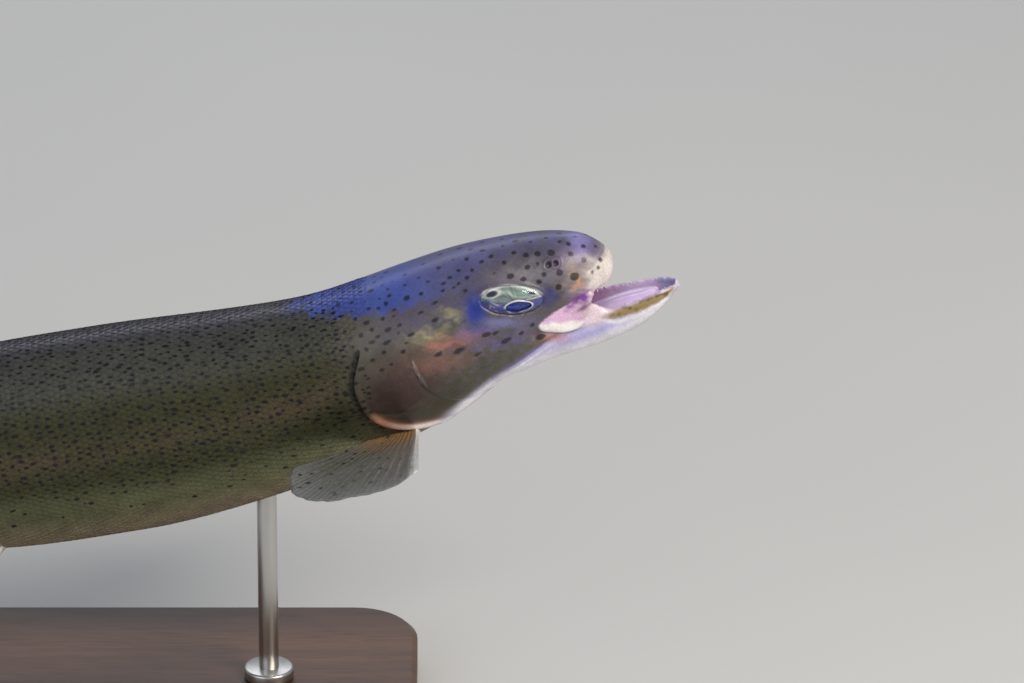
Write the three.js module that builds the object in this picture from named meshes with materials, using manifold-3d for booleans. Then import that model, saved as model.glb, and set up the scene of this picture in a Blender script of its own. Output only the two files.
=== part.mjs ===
// A life-size still model of a rainbow trout rising with its mouth open, on a plain display stand.
// Units are millimetres. The fish is first shaped straight: x runs forward from the tip of the snout,
// y to its left and z up. Stations are distances behind the snout. The finished pieces are then bent
// along the spine, and the whole fish is set over the stand, whose underside is at z = 0.
import * as THREE from "three";
import { mergeVertices } from "three/addons/utils/BufferGeometryUtils.js";
import Module from "manifold-3d";

const wasm = await Module();
wasm.setup();

// Driving dimensions.
const HEAD_LENGTH = 82; // snout to the hind edge of the gill cover
const TAIL_ROOT = 338; // station where the tail fin's rays begin
const TOTAL_LENGTH = 383; // snout to the tips of the tail fin
const NOSE = -1.8; // station of the rounded nose, a little in front of the upper lip
const JAW_REACH = 16; // how far the dropped lower jaw stands in front of the snout
const GAP = 0.3; // clearance between neighbouring pieces
const EYE = { station: 28.6, side: 10.5, height: 8.2, long: 8, tall: 6.6, depth: 5.7, turn: 7, clearance: 0.35 };
const HEAD_PITCH = 26; // degrees the raised head points above level
const STAND = { length: 180, width: 92, thickness: 12, corner: 18, bevel: 1.5, rodRadius: 3 };
const SNOUT_HEIGHT = 148; // of the snout above the stand's underside
const BALANCE_STATION = 158; // the station that stands over the middle of the base

// Outlines of the straight fish, as [station, value] pairs.
const DORSAL = [[NOSE, 3.2], [-0.4, 7.6], [1.4, 10.5], [3.5, 12.9], [8.5, 16], [14, 18.4], [26, 21.9],
  [41, 24.9], [57, 26.4], [82, 27.8], [120, 30], [160, 31.5], [195, 31], [235, 27], [272, 20.5],
  [300, 15.8], [324, 14.6], [338, 16.5]];
const BELLY = [[45, -17.8], [52, -19.6], [60, -21.3], [82, -24], [115, -30], [155, -34], [195, -33.5],
  [232, -28.5], [265, -21], [296, -15.6], [324, -13.8], [338, -15.8]];
const WIDEST_LEVEL = [[NOSE, 3.1], [1, 2.2], [15, 3], [31, 4], [60, 4], [82, 3], [120, 2], [200, 0.5], [338, 0.5]];
const TRUNK_HALF_WIDTH = [[45, 17], [66, 18.8], [82, 19.5], [100, 20.6], [140, 21.3], [175, 20.8], [212, 18.2],
  [250, 14], [290, 8.8], [324, 5.2], [338, 3.8]];
const HEAD_HALF_WIDTH = [[NOSE, 0], [-1.3, 3.2], [-0.2, 5.2], [1.5, 6.8], [4.4, 8.6], [9, 10.7], [15, 12.7],
  [31, 16.2], [45, 18.2], [60, 20], [72, 20.8], [90, 20.6]];
const HEAD_UNDERSIDE = [[NOSE, 3], [-1.2, 1], [0, -0.8], [6, -2.6], [12, -3.4], [24, -5.2], [31, -10.5],
  [40, -16.4], [50, -19.1], [60, -21.3], [90, -24.6]];
const JAW_HALF_WIDTH = [[0, 0], [3, 4.3], [7, 6.2], [12, 7.5], [25, 10.2], [37, 12.7], [51, 15.2], [66, 16.8]];
const JAW_RIM = [[0, -12.9], [5, -11.7], [12, -10.6], [25, -8.4], [37, -6.4], [51, -5], [66, -4]];
const JAW_UNDERSIDE = [[0, -13.9], [4, -16.4], [10, -19], [16, -20.4], [28, -20.1], [38, -18.5], [49, -17.3],
  [59, -18], [66, -19.4]];
const JAWBONE = { front: 8.5, hind: 24.5 }; // stations of the upper jawbone's two ends
const SPINE_PITCH = [[-30, HEAD_PITCH], [55, HEAD_PITCH], [115, 12.5], [160, 11], [240, 8.5], [400, 6]];
const SPINE_TURN = [[-30, 0], [60, 0], [150, -2.5], [210, 0], [300, 8], [400, 15]];

// Smooth curves through a few points. A blunt end is rounded by working in the root of the distance from it.
function smooth(points, blunt = false) {
  const place = (x) => (blunt ? Math.sqrt(Math.max(x - points[0][0], 0)) : x);
  const x = points.map((p) => place(p[0]));
  const y = points.map((p) => p[1]);
  const step = x.slice(1).map((v, i) => v - x[i]);
  const slope = step.map((h, i) => (y[i + 1] - y[i]) / h);
  const tangent = x.map((_, i) => {
    if (i === 0) return slope[0];
    if (i === x.length - 1) return slope[i - 1];
    if (slope[i - 1] * slope[i] <= 0) return 0;
    return (step[i - 1] * slope[i] + step[i] * slope[i - 1]) / (step[i - 1] + step[i]);
  });
  return (value) => {
    const u = Math.min(Math.max(place(value), x[0]), x[x.length - 1]);
    let i = 0;
    while (i < step.length - 1 && u > x[i + 1]) i++;
    const t = (u - x[i]) / step[i];
    const near = (1 + 2 * t) * (1 - t) ** 2 * y[i] + t * (1 - t) ** 2 * step[i] * tangent[i];
    return near + t * t * (3 - 2 * t) * y[i + 1] + t * t * (t - 1) * step[i] * tangent[i + 1];
  };
}

const dorsal = smooth(DORSAL, true);
const belly = smooth(BELLY);
const widestLevel = smooth(WIDEST_LEVEL);
const trunkHalfWidth = smooth(TRUNK_HALF_WIDTH);
const headHalfWidth = smooth(HEAD_HALF_WIDTH, true);
const headUnderside = smooth(HEAD_UNDERSIDE);
const lipSquareness = smooth([[0, 0.24], [22, 0.24], [45, 0.9]]);
const jawHalfWidth = smooth(JAW_HALF_WIDTH, true);
const jawRim = smooth(JAW_RIM);
const jawUnderside = smooth(JAW_UNDERSIDE);
const spinePitch = smooth(SPINE_PITCH);
const spineTurn = smooth(SPINE_TURN);

const radians = THREE.MathUtils.degToRad;
const lerp = THREE.MathUtils.lerp;
const at = (station, y, z) => new THREE.Vector3(-station, y, z);
const evenly = (count, make) => Array.from({ length: count }, (_, i) => make(i / (count - 1), i));

// Solids: a closed mesh becomes a manifold, and a cut manifold becomes a geometry again.
function solidFrom(points, triangles) {
  const geometry = new THREE.BufferGeometry().setFromPoints(points).setIndex(triangles);
  const merged = mergeVertices(geometry, 1e-4);
  const corners = new Uint32Array(merged.index.array);
  const kept = [];
  for (let i = 0; i < corners.length; i += 3) {
    const [a, b, c] = corners.subarray(i, i + 3);
    if (a !== b && b !== c && c !== a) kept.push(a, b, c);
  }
  const build = (list) => new wasm.Manifold(new wasm.Mesh({
    numProp: 3, vertProperties: merged.attributes.position.array, triVerts: new Uint32Array(list),
  }));
  const solid = build(kept);
  return solid.volume() < 0 ? build(kept.reverse()) : solid;
}

function solidFromGeometry(geometry) {
  const position = geometry.getAttribute("position");
  const points = evenly(position.count, (_, i) => new THREE.Vector3().fromBufferAttribute(position, i));
  const triangles = geometry.index ? Array.from(geometry.index.array) : points.map((_, i) => i);
  return solidFrom(points, triangles);
}

function geometryFrom(solid, move = (p) => p) {
  const mesh = solid.getMesh();
  const vertex = (i) => new THREE.Vector3().fromArray(mesh.vertProperties, i * mesh.numProp);
  const points = evenly(mesh.numVert, (_, i) => move(vertex(i)));
  return new THREE.BufferGeometry().setFromPoints(points).setIndex(Array.from(mesh.triVerts));
}

// A loft: rings of equal count, closed at both ends by fans.
function loft(rings) {
  const count = rings[0].length;
  const points = rings.flat();
  const triangles = [];
  rings.slice(1).forEach((_, i) => {
    for (let j = 0; j < count; j++) {
      const a = i * count + j;
      const b = i * count + ((j + 1) % count);
      triangles.push(a, b, b + count, a, b + count, a + count);
    }
  });
  for (const [ring, first, flip] of [[rings[0], 0, true], [rings.at(-1), (rings.length - 1) * count, false]]) {
    const centre = ring.reduce((sum, p) => sum.add(p), new THREE.Vector3()).divideScalar(count);
    points.push(centre);
    for (let j = 0; j < count; j++) {
      const a = first + j;
      const b = first + ((j + 1) % count);
      triangles.push(...(flip ? [points.length - 1, b, a] : [points.length - 1, a, b]));
    }
  }
  return solidFrom(points, triangles);
}

// A ring of an egg-shaped section. Fullness under 1 squares the flanks.
function ring(station, halfWidth, top, level, bottom, count, fullness = 1, under = fullness) {
  return evenly(count + 1, (t) => {
    const angle = t * 2 * Math.PI;
    const rise = Math.sin(angle);
    const out = Math.cos(angle);
    const y = halfWidth * Math.sign(out) * Math.abs(out) ** (rise > 0 ? fullness : under);
    return at(station, y, level + (rise > 0 ? (top - level) : (level - bottom)) * rise);
  }).slice(0, count);
}

const stationsBetween = (from, to, count, blunt) =>
  evenly(count, (t) => (blunt ? from + (to - from) * t * t : lerp(from, to, t)));

function trunkLoft(from, to, rings, grow = 0) {
  return loft(stationsBetween(from, to, rings).map((s) => ring(
    s, trunkHalfWidth(s) + grow, dorsal(s) + grow, widestLevel(s), belly(s) - grow, 26, 0.94)));
}

function headLoft(grow = 0, rings = 16) {
  return loft(stationsBetween(NOSE + 0.1, 90, rings, true).map((s) => ring(s - grow * 0.6, headHalfWidth(s) + grow,
    dorsal(s) + grow, widestLevel(s), headUnderside(s) - grow, 26, 0.9, lipSquareness(s))));
}

function jawLoft() {
  return loft(stationsBetween(0.3, 66, 11, true).map((reach) => ring(
    reach - JAW_REACH, jawHalfWidth(reach), jawRim(reach) + 0.4, jawRim(reach), jawUnderside(reach), 18, 0.85)));
}

// The open mouth: the hollow under the palate and the trough of the lower jaw.
function mouthLoft() {
  const palate = smooth([[2, -1], [5, 1.2], [16, 2.6], [30, 0], [46, -9]]);
  const floor = smooth([[-15, -13.9], [-12, -15.4], [-4, -16.6], [10, -16.4], [28, -14], [46, -11]]);
  const upper = loft(stationsBetween(2.6, 46, 9, true).map((s) => ring(
    s, Math.min(headHalfWidth(s) - 2.1, 11), palate(s), -4, -10, 12, 0.6)));
  const lower = loft(stationsBetween(1.7, 62, 10, true).map((reach) => ring(
    reach - JAW_REACH, Math.min(jawHalfWidth(reach) - 1.6, 10.5), jawRim(reach) + 3, jawRim(reach) - 1.5,
    floor(reach - JAW_REACH), 12, 0.6)));
  return upper.add(lower);
}

// Slabs across the fish that follow a side-view outline of [station, height] pairs.
function slab(outline, reach = 60, from = -reach) {
  const shape = new THREE.Shape(outline.map(([s, z]) => new THREE.Vector2(-s, z)));
  const geometry = new THREE.ExtrudeGeometry(shape, { depth: reach - from, bevelEnabled: false });
  geometry.rotateX(Math.PI / 2).translate(0, reach, 0);
  geometry.deleteAttribute("normal").deleteAttribute("uv");
  return solidFromGeometry(geometry);
}

function roundLoop(points, count) {
  const curve = new THREE.CatmullRomCurve3(points.map(([s, z]) => new THREE.Vector3(s, z, 0)), true);
  return curve.getPoints(count).slice(0, count).map((p) => [p.x, p.y]);
}

function offsetLoop(loop, distance) {
  const area = loop.reduce((sum, [s, z], i) => {
    const [t, w] = loop[(i + 1) % loop.length];
    return sum + s * w - t * z;
  }, 0);
  const out = area > 0 ? distance : -distance;
  return loop.map(([s, z], i) => {
    const [s0, z0] = loop[(i + loop.length - 1) % loop.length];
    const [s1, z1] = loop[(i + 1) % loop.length];
    const length = Math.hypot(s1 - s0, z1 - z0);
    return [s + (out * (z1 - z0)) / length, z - (out * (s1 - s0)) / length];
  });
}

// Where the head meets the trunk: over the nape, round the gill cover and under the throat.
const GILL_EDGE = [[66, 34], [67, 26], [70, 20.5], [76, 14], [HEAD_LENGTH - 0.7, 6], [HEAD_LENGTH, -2],
  [HEAD_LENGTH - 2.5, -9.5], [73, -15.8], [64, -20.5], [56, -24.5], [54, -34]];
const headRegion = [...GILL_EDGE, [-40, -34], [-40, 34]];
const GILL_COVER = roundLoop([[58, 15.5], [66, 17.5], [75, 12.5], [HEAD_LENGTH - 1.4, 5],
  [HEAD_LENGTH - 0.8, -2], [HEAD_LENGTH - 3.5, -9], [71, -14.8],
  [60, -18.2], [51, -17.2], [47.5, -14.6], [52, -8], [54.5, 2]], 26);
const LOWER_JAW = [[-30, -9.4], [8, -6.9], [23, -6.1], [34, -9.2], [44, -13.4], [48.5, -19], [49, -34], [-30, -34]];
const THROAT = [[49.5, -34], [49, -18.3], [60, -19.6], [71.4, -16.2], [80, -9.6], [90, -9], [90, -34]];

function plate(outer, inner) {
  const rows = outer.length;
  const columns = outer[0].length;
  const points = [...outer.flat(), ...inner.flat()];
  const half = rows * columns;
  const triangles = [];
  const quad = (a, b, c, d) => triangles.push(a, b, c, a, c, d);
  for (let i = 0; i < rows - 1; i++) {
    for (let j = 0; j < columns - 1; j++) {
      const a = i * columns + j;
      quad(a, a + 1, a + 1 + columns, a + columns);
      quad(half + a, half + a + columns, half + a + 1 + columns, half + a + 1);
    }
  }
  const border = [
    ...evenly(columns, (_, j) => j), ...evenly(rows - 1, (_, i) => (i + 2) * columns - 1),
    ...evenly(columns - 1, (_, j) => rows * columns - 2 - j), ...evenly(rows - 2, (_, i) => (rows - 2 - i) * columns),
  ];
  border.forEach((a, k) => {
    const b = border[(k + 1) % border.length];
    quad(b, a, half + a, half + b);
  });
  return solidFrom(points, triangles);
}

// The upper jawbone: a narrow blade that swings forward and down as the mouth opens.
function maxilla(side, grow = 0) {
  const { front, hind } = JAWBONE;
  const line = smooth([[front, -2.2], [12, -4], [15, -4.7], [18, -4.5], [21, -3.9], [hind, -3.1]]);
  const halfDepth = smooth([[front, 1.2], [12, 3.1], [15, 4.1], [18, 3.8], [21, 2.7], [hind, 0.9]]);
  const face = (lift) => evenly(8, (t) => {
    const s = lerp(front - grow, hind + grow, t);
    return evenly(4, (u) => {
      const across = (u * 2 - 1) * (halfDepth(s) + grow);
      const proud = lift * (1 - 0.25 * (u * 2 - 1) ** 2);
      return at(s, side * (headHalfWidth(s) * 0.97 + proud), line(s) + across);
    });
  });
  return plate(face(0.9 + grow), face(-1.3 - grow));
}

// Small pointed teeth in a row, joined to their jaw.
function teeth(count, from, to, halfWidth, root, direction) {
  const rows = [];
  for (const side of [-1, 1]) {
    for (let i = 0; i < count; i++) {
      const s = lerp(from, to, i / (count - 1));
      const cone = new THREE.ConeGeometry(0.45, 1.9, 4);
      cone.rotateX(direction * Math.PI / 2).translate(-s, side * halfWidth(s), root(s));
      cone.deleteAttribute("normal").deleteAttribute("uv");
      rows.push(solidFromGeometry(cone));
    }
  }
  return rows.reduce((sum, cone) => sum.add(cone));
}

function eyeball(side, grow = 0) {
  const ball = new THREE.SphereGeometry(1, 16, 10);
  ball.rotateX(Math.PI / 2).scale(EYE.long + grow, EYE.depth + grow, EYE.tall + grow);
  ball.rotateY(radians(HEAD_PITCH)).rotateZ(-side * radians(EYE.turn));
  ball.translate(-EYE.station, side * EYE.side, EYE.height);
  ball.deleteAttribute("normal").deleteAttribute("uv");
  return solidFromGeometry(ball);
}

// Fins are thin fans of rays. A fan is given by its two outermost ray roots, the rays' turn and lengths.
function fin({ roots, angles, lengths, out, up, thickness = [2, 0.6], rays = 9, steps = 5, cup = 0 }) {
  const length = smooth(lengths);
  const surface = (sideways) => evenly(rays, (u) => {
    const root = new THREE.Vector3().lerpVectors(roots[0], roots[1], u);
    const turn = radians(lerp(angles[0], angles[1], u));
    const ray = out.clone().multiplyScalar(Math.cos(turn)).addScaledVector(up, Math.sin(turn));
    const normal = new THREE.Vector3().crossVectors(out, up).normalize();
    return evenly(steps, (v) => {
      const reach = v * length(u);
      const half = lerp(thickness[0], thickness[1], Math.sqrt(v)) / 2;
      return root.clone().addScaledVector(ray, reach)
        .addScaledVector(normal, sideways * half + cup * Math.sin(Math.PI * u) * v * v);
    });
  });
  return plate(surface(1), surface(-1));
}

const BACK = new THREE.Vector3(-1, 0, 0);
const UP = new THREE.Vector3(0, 0, 1);
const DOWN = new THREE.Vector3(0, 0, -1);

function medianFins() {
  return {
    dorsal_fin: fin({
      roots: [at(186, 0, dorsal(186) - 3), at(225, 0, dorsal(225) - 3)], angles: [54, 28],
      lengths: [[0, 37], [0.12, 41], [0.5, 31], [1, 21]], out: BACK, up: UP,
    }),
    adipose_fin: fin({
      roots: [at(290, 0, dorsal(290) - 2), at(298, 0, dorsal(298) - 2)], angles: [32, 12],
      lengths: [[0, 13.5], [0.5, 14], [1, 9]], out: BACK, up: UP, thickness: [2.6, 1.2], rays: 5, steps: 4,
    }),
    anal_fin: fin({
      roots: [at(250, 0, belly(250) + 3), at(280, 0, belly(280) + 3)], angles: [64, 34],
      lengths: [[0, 29], [0.15, 32], [0.5, 23], [1, 16]], out: BACK, up: DOWN,
    }),
    tail_fin: fin({
      roots: [at(TAIL_ROOT - 7, 0, 14), at(TAIL_ROOT - 7, 0, -13.5)], angles: [30, -30],
      lengths: [[0, 60], [0.08, 59], [0.3, 46.5], [0.5, 42.5], [0.7, 46.5], [0.92, 59], [1, 60]],
      out: BACK, up: UP, thickness: [3.4, 0.6], rays: 15, steps: 5,
    }),
  };
}

function pairedFins(side) {
  const outwards = new THREE.Vector3(0, side, 0.08).normalize();
  const aft = new THREE.Vector3(-1, 0, 0.12).normalize();
  const pelvicOut = new THREE.Vector3(-0.62, side * 0.6, -0.5).normalize();
  const pelvicAft = new THREE.Vector3(-0.75, -side * 0.55, 0.25).normalize();
  return {
    pectoral_fin: fin({
      roots: [at(71, side * 9.5, -18), at(79.5, side * 12, -15.8)], angles: [-2, 58],
      lengths: [[0, 36], [0.15, 43], [0.4, 45], [0.75, 40], [1, 30]],
      out: outwards, up: aft, rays: 10, cup: -side * 2,
    }),
    pelvic_fin: fin({
      roots: [at(195, side * 6.5, -29), at(201, side * 5, -29)], angles: [-4, 42],
      lengths: [[0, 34], [0.4, 34], [1, 22]], out: pelvicOut, up: pelvicAft, rays: 8,
    }),
  };
}

// The spine: the place and heading of the fish's axis at each station.
const SPINE_STEP = 0.5;
const spine = [new THREE.Vector3()];
const backwardsAt = (station) => {
  const pitch = radians(spinePitch(station));
  const turn = radians(spineTurn(station));
  return new THREE.Vector3(-Math.cos(pitch) * Math.cos(turn), -Math.cos(pitch) * Math.sin(turn), -Math.sin(pitch));
};
for (let s = 0; s < TOTAL_LENGTH + 10; s += SPINE_STEP) {
  spine.push(spine.at(-1).clone().addScaledVector(backwardsAt(s + SPINE_STEP / 2), SPINE_STEP));
}

function spineAt(station) {
  if (station < 0) return backwardsAt(0).multiplyScalar(station);
  const i = Math.min(Math.floor(station / SPINE_STEP), spine.length - 2);
  return spine[i].clone().lerp(spine[i + 1], station / SPINE_STEP - i);
}

const balance = spineAt(BALANCE_STATION);
const fishPlace = new THREE.Vector3(-balance.x, -balance.y, SNOUT_HEIGHT);

function bent(point) {
  const station = -point.x;
  const pitch = radians(spinePitch(station));
  const turn = radians(spineTurn(station));
  const left = new THREE.Vector3(-Math.sin(turn), Math.cos(turn), 0);
  const up = new THREE.Vector3(-Math.sin(pitch) * Math.cos(turn), -Math.sin(pitch) * Math.sin(turn), Math.cos(pitch));
  return spineAt(station).addScaledVector(left, point.y).addScaledVector(up, point.z).add(fishPlace);
}

// The straight fish, piece by piece.
function headPieces() {
  const inside = slab(offsetLoop(headRegion, -GAP / 2));
  const whole = headLoft().add(jawLoft()).intersect(inside).subtract(mouthLoft());
  const coverBack = headLoft(-2.4);
  const coverSeat = headLoft(-2.4 - GAP);
  const grown = (outline) => slab(offsetLoop(outline, GAP / 2));
  const shrunk = (outline) => slab(offsetLoop(outline, -GAP / 2));
  const coverRoom = grown(GILL_COVER).subtract(coverSeat);
  const covers = whole.intersect(shrunk(GILL_COVER)).subtract(coverBack);
  const flanks = { left: slab([[-40, 40], [120, 40], [120, -40], [-40, -40]], 60, 0.5) };
  flanks.right = slab([[-40, 40], [120, 40], [120, -40], [-40, -40]], -0.5, -60);

  let head = whole.subtract(coverRoom).subtract(grown(LOWER_JAW)).subtract(grown(THROAT));
  let jaw = whole.intersect(shrunk(LOWER_JAW));
  const throat = whole.intersect(shrunk(THROAT)).subtract(coverRoom);
  const pieces = {};
  for (const [name, side] of [["left", 1], ["right", -1]]) {
    head = head.subtract(eyeball(side, EYE.clearance)).subtract(maxilla(side, 2 * GAP));
    jaw = jaw.subtract(maxilla(side, 2 * GAP));
    pieces["maxilla_" + name] = maxilla(side);
    pieces["eye_" + name] = eyeball(side);
    pieces["gill_cover_" + name] = covers.intersect(flanks[name]);
  }
  const upperRow = teeth(4, 2.6, 7, (s) => headHalfWidth(s) - 1.8, (s) => headUnderside(s) + 0.1, -1);
  const lowerRow = teeth(7, -12, 12, (s) => jawHalfWidth(s + JAW_REACH) - 1.3, (s) => jawRim(s + JAW_REACH) + 0.2, 1);
  pieces.head = head.add(upperRow);
  pieces.lower_jaw = jaw.add(lowerRow);
  pieces.throat = throat;
  return pieces;
}

function tongue() {
  const floor = smooth([[-10, -14.2], [10, -14], [26, -12]]);
  const halfWidth = smooth([[-10, 0.3], [-9, 1.4], [-6, 3.2], [6, 4.8], [26, 5]]);
  const height = smooth([[-10, 2], [-8.5, 2.6], [-4, 3.5], [26, 4]]);
  return loft(stationsBetween(-9.5, 26, 9).map((s) => ring(
    s, halfWidth(s), floor(s) + height(s), floor(s) + 1.8, floor(s) + 0.5, 12)));
}

function trunkPieces() {
  const inFront = slab(offsetLoop(headRegion, GAP / 2));
  const front = trunkLoft(50, 150 - GAP / 2, 12).subtract(inFront);
  return {
    trunk_front: front,
    trunk_rear: trunkLoft(150 + GAP / 2, 240 - GAP / 2, 10),
    tail_stalk: trunkLoft(240 + GAP / 2, TAIL_ROOT, 10),
  };
}

function fishPieces() {
  const pieces = { ...headPieces(), ...trunkPieces() };
  pieces.tongue = tongue();
  const keepOut = trunkLoft(50, TAIL_ROOT + GAP, 34, GAP);
  const headKeepOut = headLoft(GAP);
  for (const [name, shape] of Object.entries(medianFins())) pieces[name] = shape.subtract(keepOut);
  for (const [name, side] of [["left", 1], ["right", -1]]) {
    for (const [finName, shape] of Object.entries(pairedFins(side))) {
      pieces[finName + "_" + name] = shape.subtract(keepOut).subtract(headKeepOut);
    }
  }
  return pieces;
}

// The stand: a bevelled plate and two short rods that end against the belly.
function standPieces() {
  const { length, width, thickness, corner, bevel, rodRadius } = STAND;
  const [x, y] = [length / 2 - bevel, width / 2 - bevel];
  const outline = new THREE.Shape().moveTo(-x + corner, -y).lineTo(x - corner, -y)
    .absarc(x - corner, -y + corner, corner, -Math.PI / 2, 0).lineTo(x, y - corner)
    .absarc(x - corner, y - corner, corner, 0, Math.PI / 2).lineTo(-x + corner, y)
    .absarc(-x + corner, y - corner, corner, Math.PI / 2, Math.PI).lineTo(-x, -y + corner)
    .absarc(-x + corner, -y + corner, corner, Math.PI, Math.PI * 1.5);
  const plateShape = new THREE.ExtrudeGeometry(outline, {
    depth: thickness - 2 * bevel, bevelSize: bevel, bevelThickness: bevel, bevelSegments: 1, curveSegments: 5,
  });
  plateShape.translate(0, 0, bevel);
  plateShape.deleteAttribute("normal").deleteAttribute("uv");
  const pieces = { stand_base: solidFromGeometry(plateShape) };
  const fish = solidFromGeometry(geometryFrom(trunkLoft(90, 300, 40, GAP), bent));
  for (const [name, station] of [["front", 118], ["rear", 222]]) {
    const foot = bent(at(station, 0, belly(station)));
    const rod = new THREE.CylinderGeometry(rodRadius, rodRadius, 1, 16).rotateX(Math.PI / 2);
    rod.scale(1, 1, foot.z + 10 - thickness - GAP).translate(foot.x, foot.y, (foot.z + 10 + thickness + GAP) / 2);
    rod.deleteAttribute("normal").deleteAttribute("uv");
    pieces["stand_rod_" + name] = solidFromGeometry(rod).subtract(fish);
  }
  return pieces;
}

const finish = (color, roughness, metalness = 0) => new THREE.MeshStandardMaterial({ color, roughness, metalness });
const FINISHES = {
  head: finish(0x6f6d78, 0.35), lower_jaw: finish(0xd9cfd8, 0.35), throat: finish(0xd8cdbb, 0.4),
  maxilla: finish(0xd8c6c2, 0.35), gill_cover: finish(0x7d5f52, 0.35), tongue: finish(0xd9a9bb, 0.4),
  eye: finish(0x1c2a4a, 0.08), trunk: finish(0x5d6440, 0.35), tail_stalk: finish(0x5d6440, 0.35),
  fin: finish(0x7c7a62, 0.45), stand_base: finish(0x2b2622, 0.4), stand: finish(0xb9b6ae, 0.3, 1),
};

function finishOf(name) {
  const known = Object.keys(FINISHES).filter((k) => k !== "fin" && name.startsWith(k));
  const key = known.sort((a, b) => b.length - a.length)[0];
  return key ? FINISHES[key] : FINISHES.fin;
}

const trout = new THREE.Group();
const addPiece = (name, geometry) => {
  const mesh = new THREE.Mesh(geometry, finishOf(name).clone());
  mesh.name = name;
  trout.add(mesh);
};
for (const [name, solid] of Object.entries(fishPieces())) addPiece(name, geometryFrom(solid, bent));
for (const [name, solid] of Object.entries(standPieces())) addPiece(name, geometryFrom(solid));

export default trout;
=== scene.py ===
# %% [markdown]
# # A rising rainbow trout
# A life-size museum model of a trout that lifts its head and opens its mouth at the surface. The solids
# give its true outline. Here one skin is drawn over them, then scales, fins, eyes and mouth are added.
# Everything is first shaped on a straight fish, in millimetres, and bent along its spine at the end,
# because a straight fish is far easier to measure, carve and paint than a bent one.

# %% Open the solids
import math

import bpy
import bmesh
import numpy as np
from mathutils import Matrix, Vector
from mathutils.bvhtree import BVHTree


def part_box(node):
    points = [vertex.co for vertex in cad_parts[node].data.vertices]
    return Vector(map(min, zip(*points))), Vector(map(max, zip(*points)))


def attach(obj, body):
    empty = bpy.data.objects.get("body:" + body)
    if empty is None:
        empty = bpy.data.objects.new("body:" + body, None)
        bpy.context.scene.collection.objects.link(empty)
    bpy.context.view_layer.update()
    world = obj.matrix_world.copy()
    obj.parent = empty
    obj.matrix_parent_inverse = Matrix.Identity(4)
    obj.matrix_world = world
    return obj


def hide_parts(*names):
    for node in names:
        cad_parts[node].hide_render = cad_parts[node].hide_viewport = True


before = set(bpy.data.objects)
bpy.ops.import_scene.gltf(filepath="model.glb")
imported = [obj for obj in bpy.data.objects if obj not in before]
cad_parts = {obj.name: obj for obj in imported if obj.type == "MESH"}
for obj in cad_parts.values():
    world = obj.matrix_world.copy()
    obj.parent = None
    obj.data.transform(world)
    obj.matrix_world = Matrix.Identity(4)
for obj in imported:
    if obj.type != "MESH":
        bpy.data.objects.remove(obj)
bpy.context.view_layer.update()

bpy.ops.object.select_all(action="DESELECT")
rng = np.random.default_rng(7)

# %% [markdown]
# ## The fish's own measurements
# Each outline is a short list of stations behind the snout and the value there, joined by a smooth
# curve. They are the same measurements as the solids have, so skin and solids agree everywhere.

# %% Lengths of the straight fish, in millimetres
TAIL_ROOT, TOTAL_LENGTH, NOSE = 338, 383, -1.8  # stations, counted back from the snout
JAW_REACH = 16  # how far the open lower jaw stands ahead of the snout; its own stations begin there
EYE_STATION, EYE_SIDE, EYE_HEIGHT, EYE_LONG, EYE_TALL = 28.1, 14.3, 8.9, 9.0, 4.3  # the lids' opening
EYE_DEPTH = 5.2  # of its socket
CHEEK_TURN, CHEEK_RISE = math.radians(11), math.radians(8)  # how far the eye looks forward and up
EYE_TILT = math.radians(27)  # the eye stays level while the head points up, so its long axis turns down
SNOUT_HEIGHT, BALANCE_STATION = 148, 158  # height over the floor; what stands over the board's middle
HEAD_DEPTH, SKIN_DEPTH = 0.12, 0.3  # how far the skin lies inside the solids; scales need room on the trunk
print("whole fish", TOTAL_LENGTH, "mm, body without the tail fin", TAIL_ROOT, "mm")


# %% Smooth curves
def smooth(points, blunt=False):
    """A smooth curve through [station, value] pairs; a blunt one is rounded at its first point."""
    p = np.array(points, float)
    place = (lambda v: np.sqrt(np.maximum(v - p[0, 0], 0))) if blunt else (lambda v: v)
    x, y = place(p[:, 0]), p[:, 1]
    step = np.diff(x)
    slope = np.diff(y) / step
    tangent = np.zeros(len(x))
    a, b = slope[:-1], slope[1:]
    tangent[1:-1] = np.where(a * b > 0, (step[:-1] * b + step[1:] * a) / (step[:-1] + step[1:]), 0)
    tangent[0], tangent[-1] = slope[0], slope[-1]

    def value(v):
        u = np.clip(place(np.asarray(v, float)), x[0], x[-1])
        i = np.clip(np.searchsorted(x, u, side="right") - 1, 0, len(step) - 1)
        t = (u - x[i]) / step[i]
        near = (1 + 2 * t) * (1 - t) ** 2 * y[i] + t * (1 - t) ** 2 * step[i] * tangent[i]
        return near + t * t * (3 - 2 * t) * y[i + 1] + t * t * (t - 1) * step[i] * tangent[i + 1]

    return value


def bell(distance, width):
    return np.exp(-(distance / width) ** 2)


def ease(v, start, end):
    """0 before start, 1 after end, and a soft rise between them."""
    t = np.clip((v - start) / (end - start), 0, 1)
    return t * t * (3 - 2 * t)


def fade(v, start, end):
    """1 before start, 0 after end, and a soft fall between them."""
    return ease(-v, -end, -start)


print("halfway up a soft rise:", ease(0.5, 0, 1))

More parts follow.
